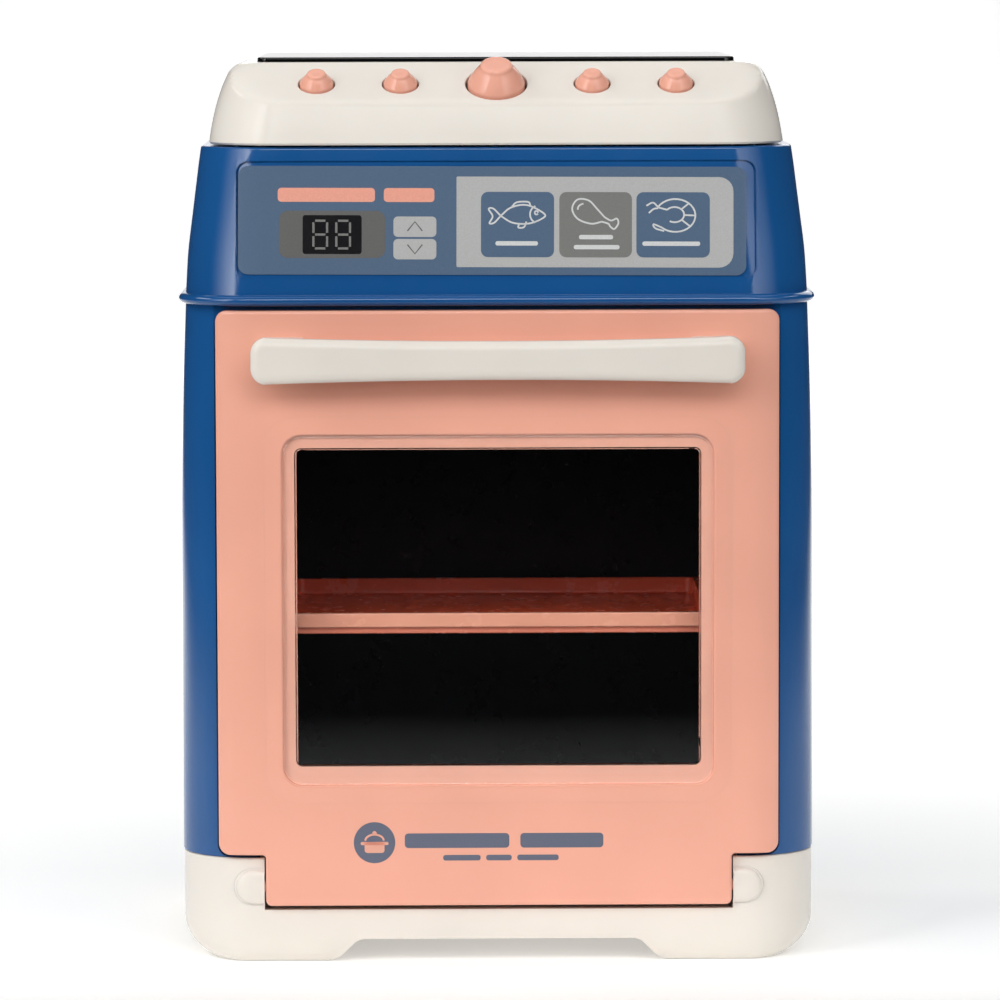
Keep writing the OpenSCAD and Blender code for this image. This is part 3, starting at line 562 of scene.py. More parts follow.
def base_piece():
    half, front, back = base_hi.x, lower_lo.y - 0.2, base_hi.y
    round_x, round_y, round_z, floor = 12.0, 5.0, 10.0, 9.4
    rows = []
    for a in quarter(10):
        inward = 1 - sin(a)
        rows.append((half - round_x * inward, front + round_y * inward, back - round_y * inward,
                     round_z * (1 - cos(a)), CORNER - 13 * inward))
    rows += lip((half, front, back, base_hi.z), 0.5)
    rows += [(half - WALL, front + WALL, back - WALL, z) for z in (base_hi.z, floor)]
    shell = loft(body_rings(rows))
    # The notch for the door's tab has a sill, a back wall and two cheeks round it
    notch_back, wall_y, wall_z = FRAME_Y + 3, front + 0.8, base_hi.z - 0.4
    spans = [(-CHEEK_X - 1, CHEEK_X + 1, wall_y, 13.6), (-CHEEK_X - 1, CHEEK_X + 1, notch_back, wall_z),
             (-CHEEK_X - WALL, -CHEEK_X, wall_y, wall_z), (CHEEK_X, CHEEK_X + WALL, wall_y, wall_z)]
    walls = [block((x0, y, floor - 1), (x1, notch_back + 2, z)) for x0, x1, y, z in spans]
    notch = block((-CHEEK_X, front - 5, 13.8), (CHEEK_X, notch_back, base_hi.z + 5))
    mid_y = 5.0
    front_arch = stood(slab(arch(42.6), -80, 80), 0)
    side_arch = slab(arch(27), -100, 100).moved(at(y=mid_y) @ turn(pi / 2, "Z") @ UPRIGHT)
    shell = fused(shell, *walls)
    shell = cut(shell, notch, front_arch, side_arch)
    shell = softened(shell, 0.45, lambda x, y, z: y < notch_back - 0.5 and abs(x) < CHEEK_X + 0.1
                     and 13.7 < z < base_hi.z - 0.6)
    shell = softened(shell, 0.6, lambda x, y, z: z < 7.1 and (abs(x) < 44 or abs(y - mid_y) < 28), 30)
    # A low dome covers each hinge pin, rising from the front with a small fillet
    boss_r, rise = 4.3, 1.7
    bump = rect(CHEEK_X - 9, -boss_r, 66, boss_r, boss_r - 0.01, 14)
    levels = [(-0.9, -1.5), (-0.5, 0.0), (-0.25, 0.04), (-0.05, 0.16)]
    levels += [(boss_r * (1 - cos(a)), 0.3 + (rise - 0.3) * sin(a)) for a in quarter(12)[1:-1]]
    boss = loft(stacked((bump, *level) for level in levels + [(boss_r - 0.05, rise)]))
    boss = stood(boss, front, HINGE_Z)
    boss = combined(boss, block((CHEEK_X, -60, 0), (90, 0, 40)), "INTERSECT")
    piece("base_shell", shell + both_sides(boss), "cooker", cream, ["base"])


def lower_piece():
    top = SEAM_Z - 0.02
    back, front = lower_hi.y, lower_lo.y
    marks = [(80, 0, 27, 0), (79.8, 0.1, 118, 12), (79.2, 0.2, 145, 9), (78.4, 0.3, top, 0)]
    rows = eased([(h, front + f, back, z, reach) for h, f, z, reach in marks])
    h, f, b, z = rows[0]
    rim = [(h - d, f + d, b - d, z + up) for d, up in ((0.35, 0), (0.1, 0.12), (0, 0.4))]
    shell = loft(body_rings(rim + rows[1:]))
    half = door_hi.x + 0.45
    recess = stood(slab(rect(-half, SHOULDER_Z - 0.9, half, top + 20, 3.1), 0, 30), FRAME_Y)
    middle = [(h, f, b - 2, z) for h, f, b, z in rows if 30 < z < top - WALL - 1]
    low, high = middle[0], middle[-1]
    void = loft(body_rings([(*low[:3], 20)] + middle + [(*high[:3], top - WALL)], WALL))
    void = combined(void, block((-90, FRAME_Y + WALL, 10), (90, 90, 190)), "INTERSECT")
    foot = block((-60, -80, 20), (60, FRAME_Y, SHOULDER_Z + 1))
    mouth = stood(slab(rect(-CAVITY_HALF, CAVITY_Z[0], CAVITY_HALF, CAVITY_Z[1], 3), 0, 20), FRAME_Y + 10)
    hole = stood(slab(rect(-62.5, 33, 62.5, 160, 4), 0, 12), back + 3)
    rebate = stood(slab(facing(rear_lo, rear_hi, 0.2, 5), 0, 8), rear_lo.y + 8)
    shell = cut(shell, recess, foot, void, mouth, hole, rebate)
    shell = softened(shell, 0.5, lambda x, y, z: y < FRAME_Y - 1 and abs(abs(x) - half + 1.6) < 1.8, 30, 4)
    shell = softened(shell, 0.4, lambda x, y, z: y > back - 0.05 and abs(x) < 71 and 28 < z < 164, 30)
    piece("lower_shell", shell, "cooker", blue, ["lower_housing"])


def upper_rows(inset=0.0):
    """The control housing's half-width, front, back and height from the seam to the crown."""
    marks = ((SEAM_Z, 78.4), (178.6, 77.8), (187.2, 76.7), (196.1, 75.6), (CROWN_Z, 74.5))
    rows = [(half, face_y(z), upper_hi.y, z, 4 if 170 < z < 200 else 0) for z, half in marks]
    return [(h - inset, f + inset, b - inset, z) for h, f, b, z in eased(rows)]


def on_face(u, v):
    """Turns a shape drawn on the control face at (u, v) up to its place, before it is bent."""
    return at(u, face_y(LABEL_Z), LABEL_Z) @ turn(pi / 2 - FACE_TILT, "X") @ at(y=v)


def upper_piece():
    back = upper_hi.y
    rib_z, rib_h, rib_out = 167.2, 1.34, 1.5
    wall = [row for row in upper_rows() if row[3] > rib_z + rib_h + 0.3]
    half_rib = 80 - rib_out
    rows = [(78.3, FACE_Y + 0.2, back, SEAM_Z)]
    for k in range(13):
        a = radians(-90 + 15 * k)
        rows.append((half_rib + rib_out * cos(a), FACE_Y - rib_out * cos(a) * 0.98, back,
                     rib_z + rib_h * sin(a)))
    crown = wall[-1]
    rows += [(78.3, face_y(rib_z + rib_h), back, rib_z + rib_h + 0.05)] + wall[:-1] + lip(crown, 0.7)
    outer = body_rings(rows)
    hole = rect(-59, door_lo.y + 10, 59, back - 12, 6, 14)
    inner_rows = upper_rows(WALL)
    deck = CROWN_Z - WALL
    inner = body_rings([(inner_rows[-1][0], inner_rows[-1][1], inner_rows[-1][2], deck),
                        (inner_rows[0][0], inner_rows[0][1], inner_rows[0][2], SEAM_Z)])
    shell = loft(outer + [ring(hole, 0, CROWN_Z), ring(hole, 0, deck)] + inner, closed=True)
    # The label's recess, with its rim eased in three small steps
    for wider, depth in ((0.32, 0.05), (0.13, 0.17), (0.0, 0.6)):
        x0, x1, tall = -64.9 - wider, 64.5 + wider, 14.6 + wider
        recess = slab(rect(x0, -tall, x1, tall, 2.7 + wider, 10), -6, 8).moved(on_face(0, 0))
        shell = cut(shell, cut(recess, loft(body_rings(upper_rows(depth)))))
    hatch = slab(facing(hatch_lo, hatch_hi, 0.3, 2), 0, 9)
    grille = []
    for r, count in ((0, 1), (4.4, 6), (8.8, 12)):
        for k in range(count):
            a = 2 * pi * k / count
            x, z = SPEAKER_X + r * cos(a), SPEAKER_Z + r * sin(a)
            grille.append(slab(circle(0.9, 20, x, z), 0, 9))
    shell = cut(shell, stood(hatch, back + 3), stood(joined(grille), back + 3))
    shell = softened(shell, 0.25, lambda x, y, z: y > back - 0.05 and 170 < z < 203.5 and abs(x) < 64, 40, 2)
    piece("upper_shell", shell, "cooker", blue, ["upper_housing"])


def panel_frame(x=0.0):
    """The button panel's own frame: its face at z = 0, up-slope along +Y."""
    return at(x, PANEL_Y, PANEL_Z) @ turn(PANEL_TILT, "X")


BUTTON_XS = [-45, -24, 24, 45]
COVER_MID = 5.0


def walked(outline, step=0.6):
    """An outline's points with more of them put in, no further than step apart."""
    points = []
    for p, q in zip(outline[:, :2], np.roll(outline[:, :2], -1, 0)):
        count = max(1, ceil(np.linalg.norm(q - p) / step))
        points += [p + (q - p) * k / count for k in range(count)]
    return np.array(points)


def cover_ring(half, front, back, z, panel_y, soft):
    """The cover's outline at a height: the body's, cut off at panel_y in front with soft corners."""
    body = walked(plan(half, front, back)) - (0, COVER_MID)
    angles = np.arctan2(body[:, 1], body[:, 0]) % (2 * pi)
    order = np.argsort(angles)
    stretches = [(0, 1.02, 44), (1.02, 2.12, 14), (2.12, pi, 44)]
    ways = np.concatenate([np.linspace(*stretch) for stretch in stretches])
    ways = np.unique(np.concatenate([ways * 0.98 + pi + 0.03, np.linspace(0.05, pi, 64)]))
    reach = np.interp(ways, angles[order], np.hypot(*body.T)[order], period=2 * pi)
    down = np.sin(ways)
    flat = np.where(down < -0.05, (panel_y - COVER_MID) / np.minimum(down, -0.05), 1e3)
    share = np.clip(0.5 + 0.5 * (reach - flat) / soft, 0, 1)
    reach = reach * (1 - share) + flat * share - soft * share * (1 - share)
    return np.column_stack([reach * np.cos(ways), COVER_MID + reach * down, np.full(len(ways), z)])


def cover_rings(heights, inset=0.0):
    """Rings of the cover's outer skin, or of one drawn in by inset all round."""
    half, front, back, z1 = cover_hi.x, cover_lo.y, cover_hi.y, cover_hi.z
    z0 = z1 - 20.3
    # How far the sides, the front and the back have come in, the height, and the reach of the rounding
    marks = [(0, front, 0, z0 - 3, 0), (0, front, 0, z0 + 0.5, 0), (0.7, front + 1, 0.4, 211.1, 3),
             (1.9, CREASE_Y, 0.9, CREASE_Z, 2), (3.4, CREASE_Y + 0.5, 1.8, 220.6, 2),
             (5, CREASE_Y + 1.5, 3, 223.9, 1.2), (7, CREASE_Y + 3, 5, 225.6, 0.9),
             (10.4, CREASE_Y + 6, 8, z1, 0)]
    rows = np.array(eased([(half - w, f, back - b, z, reach) for w, f, b, z, reach in marks], 5))
    rings = []
    for z in heights:
        w, f, b = (np.interp(z, rows[:, 3], rows[:, k]) for k in range(3))
        small = max(0.0, z0 + 0.5 - z) * 0.7 if not inset else inset
        panel_y = CREASE_Y + (z - CREASE_Z) / tan(PANEL_TILT) + inset / sin(PANEL_TILT)
        rings.append(cover_ring(w - small, f + small, b - small, z, panel_y, 2.2))
    return rings


def cover_piece():
    z1 = cover_hi.z
    z0 = z1 - 20.3
    heights = [z0, z0 + 0.15, z0 + 0.5] + list(np.arange(z0 + 1.5, CREASE_Z - 3, 1.0))
    heights += list(np.arange(CREASE_Z - 3, z1, 0.3)) + [z1]
    solid = loft(cover_rings(heights))
    inside = loft(cover_rings([z0 - 1] + list(np.arange(z0 + 1, z1 - 2.2, 0.7)) + [z1 - 2.2], 2.0))
    solid = cut(solid, inside)
    holes = []
    for x, r in [(0, 7.75)] + [(x, 4.6) for x in BUTTON_XS]:
        rim = [(r + 0.3 - 0.3 * cos(a), 0.3 * sin(a) - 0.3) for a in quarter(4)]
        holes.append(lathe([(0, -9), (r, -9)] + rim + [(r + 0.3, 5), (0, 5)], 72).moved(panel_frame(x)))
    solid = cut(solid, joined(holes))
    gap = 0.2
    well = rect(hob_lo.x - gap, hob_lo.y - gap, hob_hi.x + gap, hob_hi.y + gap, 3.2)
    solid = cut(solid, slab(well, hob_lo.z, hob_hi.z + 5))
    piece("cover_shell", solid, "cooker", cream, ["top_cover"])


def hob_surface():
    """Black plastic with four pairs of thin grey rings printed on it."""
    m = Nodes("hob_plastic")
    mid_y = (hob_lo.y + hob_hi.y) / 2
    flat = m.new("ShaderNodeVectorMath", {0: m.place, 1: (1, 1, 0)}, operation="MULTIPLY").outputs[0]
    ink = 0.0
    for x, y, r in ((-30, -17, 11), (30, -17, 13), (-30, 17, 13), (30, 17, 11)):
        middle = (x * MM, (mid_y + y) * MM, 0)
        away = m.new("ShaderNodeVectorMath", {0: flat, 1: middle}, operation="DISTANCE").outputs["Value"]
        for radius in (r, r * 0.62):
            ink = m.calc("MAXIMUM", m.calc("COMPARE", away, radius * MM, 0.4 * MM), ink)
    gloss = m.span(m.noise(6, 4, 0.6), 0.3, 0.7, 0.07, 0.11)
    m.set(base_color=m.mixed(ink, srgb(9, 9, 10), srgb(104, 104, 103)), roughness=gloss,
          normal=m.bump(m.noise(24, 1), 0.03))
    return m.material


def hob_piece():
    plate = slab(rect(hob_lo.x, hob_lo.y, hob_hi.x, hob_hi.y, 3), hob_lo.z, hob_hi.z, 0.1, 0.5, 5)
    piece("hob_top", plate, "cooker", hob_surface(), ["hob_plate"])


# ---------- control label ----------


def half_at(z):
    """The control housing's half-width at a height."""
    rows = np.array(upper_rows())
    return np.interp(z, rows[:, 3], rows[:, 0])


def bent(shape, u=0.0, v=0.0):
    """A flat shape laid on the control face at (u, v) and bent round the housing's corners with it."""
    askew = turn(radians(-0.3), "Z")
    bends = (57.5, 58.7, 60, 61.2, 62.4, 63.6)
    flat = sliced(shape.moved(at(u) @ askew), [s * x for s in (-1, 1) for x in bends])
    points = flat.moved(on_face(0, v)).points
    start = half_at(points[:, 2]) - CORNER
    past = np.maximum(np.abs(points[:, 0]) - start, 0)
    # The stiff film follows the corner at first, then runs straight on
    curved = np.minimum(past, 4.4)
    points[:, 1] += CORNER - np.sqrt(CORNER ** 2 - curved ** 2) + (past - curved) * 0.22
    return Shape(points, flat.faces, flat.paint)


def chip(x0, y0, x1, y1, r, z, paint, thick=0.06):
    """A thin printed patch at height z."""
    return slab(rect(x0, y0, x1, y1, r, 5), z - 0.03, z + thick, 0, 0.02, 1).painted(paint)


def stroke(points, width, z, paint, thick=0.05):
    """A thin line of even width through points, as a flat closed ribbon."""
    p = np.asarray(points, float)
    along = np.gradient(p, axis=0)
    along /= np.linalg.norm(along, axis=1)[:, None]
    side = np.column_stack([along[:, 1], -along[:, 0]]) * width / 2
    right, left = p + side, p - side
    outline = np.vstack([right, left[::-1]])
    n = len(outline)
    low = np.column_stack([outline, np.full(n, z - 0.03)])
    high = np.column_stack([outline, np.full(n, z + thick)])
    faces = [(j, (j + 1) % n, n + (j + 1) % n, n + j) for j in range(n)]
    m = len(p)
    for k in range(m - 1):
        a, b, c, d = k, k + 1, n - 2 - k, n - 1 - k
        faces += [(a, d, c, b), (n + a, n + b, n + c, n + d)]
    return Shape(np.vstack([low, high]), faces, paint)


def curve(points, steps=6):
    """A smooth line through a few points."""
    p = [np.array(q, float) for q in points]
    p = [2 * p[0] - p[1]] + p + [2 * p[-1] - p[-2]]
    line = []
    for i in range(1, len(p) - 2):
        for k in range(steps):
            t = k / steps
            a, b, c, d = p[i - 1], p[i], p[i + 1], p[i + 2]
            square, cube = 2 * a - 5 * b + 4 * c - d, 3 * b - a - 3 * c + d
            line.append((2 * b + (c - a) * t + square * t ** 2 + cube * t ** 3) / 2)
    return line + [p[-2]]


def arc(x, y, rx, ry, a0, a1, steps=18):
    return [(x + rx * cos(radians(a)), y + ry * sin(radians(a)))
            for a in np.linspace(a0, a1, steps)]


LINE = 0.42


def fish():
    """A plain fish drawn in line round the origin, swimming to the right."""
    body = [(-4.2, -0.2), (-1.6, 1.9), (2.4, 2.5), (6.6, 0.4), (6.2, -0.8), (2.8, -2.1), (-1.2, -1.9),
            (-4.2, -0.2)]
    tail = [(-4.2, -0.2), (-6.0, 1.6), (-7.2, 1.5), (-6.2, -0.3), (-7.0, -2.0), (-5.8, -1.9), (-4.2, -0.2)]
    fins = [[(-1.4, 2.1), (-0.2, 3.2), (2.6, 3.3), (3.2, 2.4)],
            [(0.4, -2.2), (0.2, -3.1), (1.6, -3.0), (2.2, -1.6)]]
    gill, eye = arc(5.4, 0.2, 2.3, 2.3, 115, 245, 10), arc(4.7, 0.6, 0.45, 0.45, 0, 330, 9)
    return [curve(body), curve(tail), gill, eye] + [curve(fin, 4) for fin in fins]


def drumstick():
    """A plain drumstick drawn in line round the origin."""
    meat = [(2.1, -2.2), (-0.6, -2.7), (-3.9, -1.5), (-5.3, 1.0), (-4.0, 3.3), (-1.2, 3.1), (0.9, 1.0),
            (2.8, -1.1)]
    bone = [(2.8, -1.1), (4.4, -1.9), (5.8, -1.4), (6.2, -2.6), (5.2, -4.0), (4.2, -3.4), (3.7, -2.7),
            (2.1, -2.2)]
    return [curve(meat), curve(bone), arc(-2.2, 1.0, 1.7, 1.3, 100, 190, 8)]


def shrimp():
    """A plain curled shrimp drawn in line round the origin."""
    back, belly = arc(0.4, 0, 5.0, 4.1, 150, -130, 26), arc(0.2, 0.2, 2.4, 1.9, 140, -120, 18)
    tail = [(-2.8, -3.1), (-5.0, -2.2), (-4.6, -3.2), (-2.4, -3.9)]
    head = [(-3.9, 2.0), (-1.6, 1.4)]
    plates = []
    for a in (radians(48), 0, radians(-42)):
        across, up = cos(a), sin(a)
        plates.append([(0.3 + 2.4 * across, 0.1 + 1.9 * up), (0.4 + 4.9 * across, 4 * up)])
    feelers = [[(-3.9, 2.1), (-5.2, 3.2), (-6.8, 2.4)], [(-3.9, 1.8), (-5.0, 1.6), (-6.2, 0.6)]]
    return [back, belly, curve(tail, 4), head] + plates + [curve(line, 4) for line in feelers]


def digit(x, y, w, h, z, paint):
    """A seven-segment 8: three level bars and four upright ones."""
    t, gap = 0.55, 0.14
    bars = []
    for level in (y, y + h / 2, y + h):
        bars.append([(x + gap + t / 2, level), (x + w - gap - t / 2, level)])
    for side in (x, x + w):
        for low in (y, y + h / 2):
            bars.append([(side, low + gap + t / 2), (side, low + h / 2 - gap - t / 2)])
    return [stroke(b, t, z, paint) for b in bars]


def label_piece():
    blue_n, light, grey, mid, dark, white, coral = range(7)
    u, v = -1.2, -0.3
    top = -0.3
    parts = [slab(rect(-63.3, -13.55, 63.3, 13.55, 2.5, 8), -0.6, top, 0, 0.06, 2).painted(blue_n)]
    block_outline = rounded([(-8.9, -11.6, 0.3), (60.1, -11.6, 3.6), (60.1, 11.0, 3.6), (-8.9, 11.0, 0.3)], 6)
    parts.append(slab(block_outline, top - 0.03, top + 0.03, 0, 0.02, 1).painted(light))
    on = top + 0.03
    for x0, x1, n in ((-2.8, 15.4, blue_n), (16.7, 34.8, mid), (35.9, 54.2, blue_n)):
        parts.append(chip(x0, -9.1, x1, 7.2, 1.75, on, n, 0.03))
    for x0, x1 in ((-53.4, -29.2), (-27.0, -14.4)):
        parts.append(chip(x0, 4.6, x1, 8.1, 0.9, top, coral, 0.03))
    parts.append(chip(-53.1, -9.4, -26.6, 2.4, 2.2, top, grey, 0.03))
    parts.append(chip(-47.2, -8.4, -32.5, 1.3, 0.7, on, dark, 0.03))
    for y in (-4.1, -9.7):
        parts.append(chip(-24.6, y, -13.9, y + 5.1, 1.1, top, light, 0.03))
    for x in (-44.5, -38.8):
        parts += digit(x, -7.0, 3.4, 6.9, on + 0.03, mid)
    for y, s in ((-1.5, 1), (-7.1, -1)):
        chevron = [(-21.1, y - 1.1 * s), (-19.25, y + 1.2 * s), (-17.4, y - 1.1 * s)]
        parts.append(stroke(chevron, 0.34, on, grey, 0.02))
    for lines, middle in ((fish(), (6.3, 1.4)), (drumstick(), (25.2, 2.0)), (shrimp(), (45.2, 1.4))):
        parts += [stroke(np.array(line) + middle, LINE, on + 0.03, white, 0.02) for line in lines]
    for x0, x1, y in ((0.8, 11.4, -6.2), (21.6, 30.1, -4.6), (20.3, 31.7, -7.1), (37.4, 51.8, -6.2)):
        parts.append(chip(x0, y, x1, y + 1.1, 0.5, on + 0.03, white, 0.02))
    shape = joined([bent(part, u, v) for part in parts])
    piece("label_print", shape, "cooker", INKS, ["control_label"])


# ---------- door ----------


def door_face(points):
    """Points of a flat-fronted door drawn back so that its front follows the housing's corners."""
    half = np.interp(points[:, 2], [27, 118, 145, 166], [80, 79.8, 79.2, 78.4])
    past = np.clip(np.abs(points[:, 0]) - (half - CORNER), 0, CORNER - 1)
    fall = CORNER - np.sqrt(CORNER ** 2 - past ** 2)
    depth = door_hi.y - door_lo.y
    points = points.copy()
    points[:, 1] = door_hi.y - (door_hi.y - points[:, 1]) * (1 - fall / depth)
    return points


def window_outlines():
    """The window's through-opening, the rabbet round it and the raised border's outer edge."""
    opening = (50.8, 50.3, 130.5)
    rabbet = (opening[0] + 3.1, opening[1] - 4.6, opening[2] + 3.3)
    border = (rabbet[0] + 4.4, rabbet[1] - 4.4, rabbet[2] + 4.4)
    radii = (1.7, 4.9, 8.2)
    return [rect(-h, z0, h, z1, r, 10) for (h, z0, z1), r in zip((opening, rabbet, border), radii)]


def door_piece():
    half, z0, z1 = door_hi.x, door_lo.z, door_hi.z
    depth = door_hi.y - door_lo.y
    right = [(TAB_HALF, z0, 1.5), (TAB_HALF, SHOULDER_Z, 0.9), (half, SHOULDER_Z, 2.8), (half, z1, 2.8)]
    corners = [(-TAB_HALF, z0, 1.5)] + right + [(-x, z, r) for x, z, r in right[:0:-1]]
    outline = rounded(corners, 8)
    opening, rabbet, border = window_outlines()
    # In the flat frame, height 0 is the door's back and depth is its front
    panel = slab(outline, 0, depth, 0.3, 0.85, 5)
    panel = cut(panel, slab(border, -5, depth + 5))
    inside = [(x * 0.965, z + (1.6 if z < 100 else -1.6), 1.2) for x, z, _ in corners]
    hollow = cut(slab(rounded(inside, 4), -5, depth - 2.2), slab(border, -9, depth + 5))
    # The hollow back keeps two screw bosses, two upright ribs and two hinge blocks
    bosses = [(-55, 152.9), (55, 152.9)]
    keep = [slab(circle(4, 32, x, z), -9, depth) for x, z in bosses]
    keep += [block((s * 61 - 0.8, SHOULDER_Z + 1, -9), (s * 61 + 0.8, z1 - 1, depth)) for s in (-1, 1)]
    keep += [block((s * 54.5 - 3, z0 + 1, -9), (s * 54.5 + 3, 24, depth)) for s in (-1, 1)]
    panel = cut(panel, cut(hollow, joined(keep)))
    panel = softened(panel, 0.25, lambda x, y, z: z < 0.01, 40, 2)
    panel = cut(panel, joined([slab(circle(2.9, 32, x, z), -3, 1.6) for x, z in bosses]))
    ledge = depth - 1.4
    rows = [(border, 0, 0.0), (border, 0, depth), (rabbet, -0.9, depth + 0.3), (rabbet, -0.35, depth + 0.26),
            (rabbet, 0, depth - 0.05), (rabbet, 0, ledge), (opening, 0, ledge), (opening, 0, 0.25),
            (opening, -0.25, 0.0)]
    panel += loft(stacked(rows), closed=True).flipped()
    bends = (60, 61.5, 63, 64.5, 66, 67.2, 68.4, 69.4, 70.2)
    panel = stood(sliced(panel, [s * x for s in (-1, 1) for x in bends]), door_hi.y)
    panel = Shape(door_face(panel.points), panel.faces, panel.paint)
    pin = lathe([(0, -2), (1.52, -2), (1.52, 4.2), (1.3, 4.5), (0, 4.5)], 32)
    pins = both_sides(pin.moved(at(TAB_HALF, HINGE_Y, HINGE_Z) @ turn(pi / 2, "Y")))
    piece("door_shell", panel + pins, "door", pink, ["door_panel"])


def window_piece():
    depth = window_hi.y - window_lo.y
    step = depth - 1.05
    opening, rabbet, _ = window_outlines()
    rows = [(opening, 0.55, 0), (opening, 0.25, 0.3), (opening, 0.25, step), (rabbet, 0.3, step),
            (rabbet, 0.25, step + 0.1), (rabbet, 0.25, depth - 0.45), (rabbet, 0.4, depth - 0.2),
            (rabbet, 0.85, depth), (rabbet, 2.6, depth), (rabbet, 2.9, depth - 0.12)]
    shape = stood(loft(stacked(rows)), window_hi.y)
    piece("window_pane", shape, "door", glassy, ["door_window"])


def handle_outline(half, mid_h, end_h, r):
    """The handle seen from the front: a bar that widens towards rounded ends."""
    ends = [radians(a) for a in range(0, 91, 9)]
    x, y = half - r, end_h / 2 - r
    points = [(w, -(mid_h + (end_h - mid_h) * (w / half) ** 2) / 2) for w in np.linspace(-x, x, 41)]
    points += [(x + r * sin(a), -y - r * cos(a)) for a in ends[1:]]
    points += [(x + r * cos(a), y + r * sin(a)) for a in ends]
    return traced(points + [(-u, -v) for u, v in points[1:-1]])


def handle_piece():
    half, z = handle_hi.x, (handle_lo.z + handle_hi.z) / 2
    reach = door_lo.y - handle_lo.y
    outline = handle_outline(half, 9.6, 11.8, 4.0)
    back_z = reach - 4.6
    stack = [(0.9, back_z), (0.3, back_z + 0.25), (0, back_z + 0.9)]
    wide, deep = 2.5, 1.9
    stack += [(wide * (1 - cos(a)), reach - deep * (1 - sin(a))) for a in quarter(7)]
    grip = loft(stacked((outline, *row) for row in stack))
    tip = half - 0.35
    foot = rounded([(47.8, -5.35, 1.2), (tip, -5.55, 3.4), (tip, 5.55, 3.4), (47.8, 5.35, 1.2)], 6)
    shape = stood(grip + both_sides(slab(foot, -0.02, back_z + 1.4, 0.1, 0, 2)), door_lo.y, z)
    piece("handle_bar", shape, "door", cream, ["door_handle"])


def door_mark():
    """Plain generic marks on the door: a badge with a pot on it, and bars where the title would be."""
    top = 0.0
    parts = [slab(circle(5.2, 72, -31.2, 31.2), top - 0.05, top + 0.05, 0, 0.02, 1).painted(0)]
    for x0, x1 in ((-23.6, 2.6), (5.4, 26.2)):
        parts.append(chip(x0, 29.8, x1, 33.5, 0.9, top, 0))
    for x0, x1 in ((-14, -4.6), (-3.2, 3.2), (4.6, 15)):
        parts.append(chip(x0, 26.6, x1, 28.0, 0.6, top, 0))
    x, z = -31.2, 31.0
    parts.append(chip(x - 2.5, z - 2.4, x + 2.5, z + 0.4, 0.7, top + 0.05, 1, 0.03))
    parts.append(chip(x - 3.5, z - 0.4, x + 3.5, z + 0.4, 0.38, top + 0.05, 1, 0.03))
    parts.append(stroke(arc(x, z + 0.75, 2.3, 1.5, 0, 180, 16), 0.5, top + 0.05, 1, 0.03))
    parts.append(slab(circle(0.55, 20, x, z + 2.6), top, top + 0.08, 0, 0.02, 1).painted(1))
    piece("door_mark", stood(joined(parts), door_lo.y), "door", [mark_ink, pink])


def handle_screw_piece():
    lo, hi = box("handle_screws")
    one = screw(hi.y - lo.y).moved(at(hi.x - SCREW_HEAD_R, hi.y, (lo.z + hi.z) / 2) @ HEAD_BACK)
    piece("handle_fixings", both_sides(one), "door", steel, ["handle_screws"])


# ---------- oven ----------


def tray_pink_painted_shade(front):
    """The door's plastic at the lip, and behind it a deeper orange that is painted shade, darkening the
    tray's inside as if it lay in the oven's shade.
    """
    m = Nodes("tray_plastic_painted_shade")
    along = m.new("ShaderNodeSeparateXYZ", {"Vector": m.place}).outputs["Y"]
    # Painted shade mask: 0 at the lip and 1 just behind it, where the tray takes the painted shade colour
    inside = m.span(along, (front + 0.6) * MM, (front + 2) * MM)
    flow = m.span(m.noise(38, 2), 0.3, 0.7)
    lit = m.mixed(flow, srgb(228, 152, 126), srgb(236, 160, 134))
    gloss = m.span(m.noise(6, 4, 0.6), 0.3, 0.7, 0.2, 0.3)
    # The deep orange is painted shade inside the oven, mixed in past the lip
    tone = m.mixed(inside, lit, srgb(226, 84, 52))
    m.set(base_color=tone, roughness=gloss, normal=m.bump(m.noise(24, 1), 0.05))
    return m.material


def tray_piece():
    z_rim, z_low = tray_hi.z, tray_lo.z
    half, y0, y1 = tray_hi.x, tray_lo.y, tray_hi.y
    well, under = 54.2, z_rim - 1.2
    rim = rect(-half, y0, half, y1, 2)
    outer = rect(-well, y0 + 1.2, well, y1, 1.9)
    inner = rect(-well + 1.6, y0 + 2.8, well - 1.6, y1 - 1.6, 2)
    rows = [(outer, 0.7, z_low), (outer, 0.2, z_low + 0.2), (outer, 0, z_low + 0.7), (outer, 0, under),
            (rim, 0.15, under), (rim, 0, z_rim - 1.0), (rim, 0, z_rim - 0.35), (rim, 0.12, z_rim - 0.1),
            (rim, 0.4, z_rim), (inner, -0.3, z_rim), (inner, -0.08, z_rim - 0.1), (inner, 0, z_rim - 0.4),
            (inner, 0.1, z_low + 2.2), (inner, 0.4, z_low + 1.5), (inner, 1.1, z_low + 1.2)]
    lip_bar = slab(rect(-half, z_rim - 3.7, half, z_rim, 0.9, 4), 0, 1.6, 0.1, 0.5, 4)
    shape = loft(stacked(rows)) + stood(lip_bar, y0 + 1.6)
    piece("baking_tray", shape, "tray", tray_pink_painted_shade(y0), ["oven_tray"])


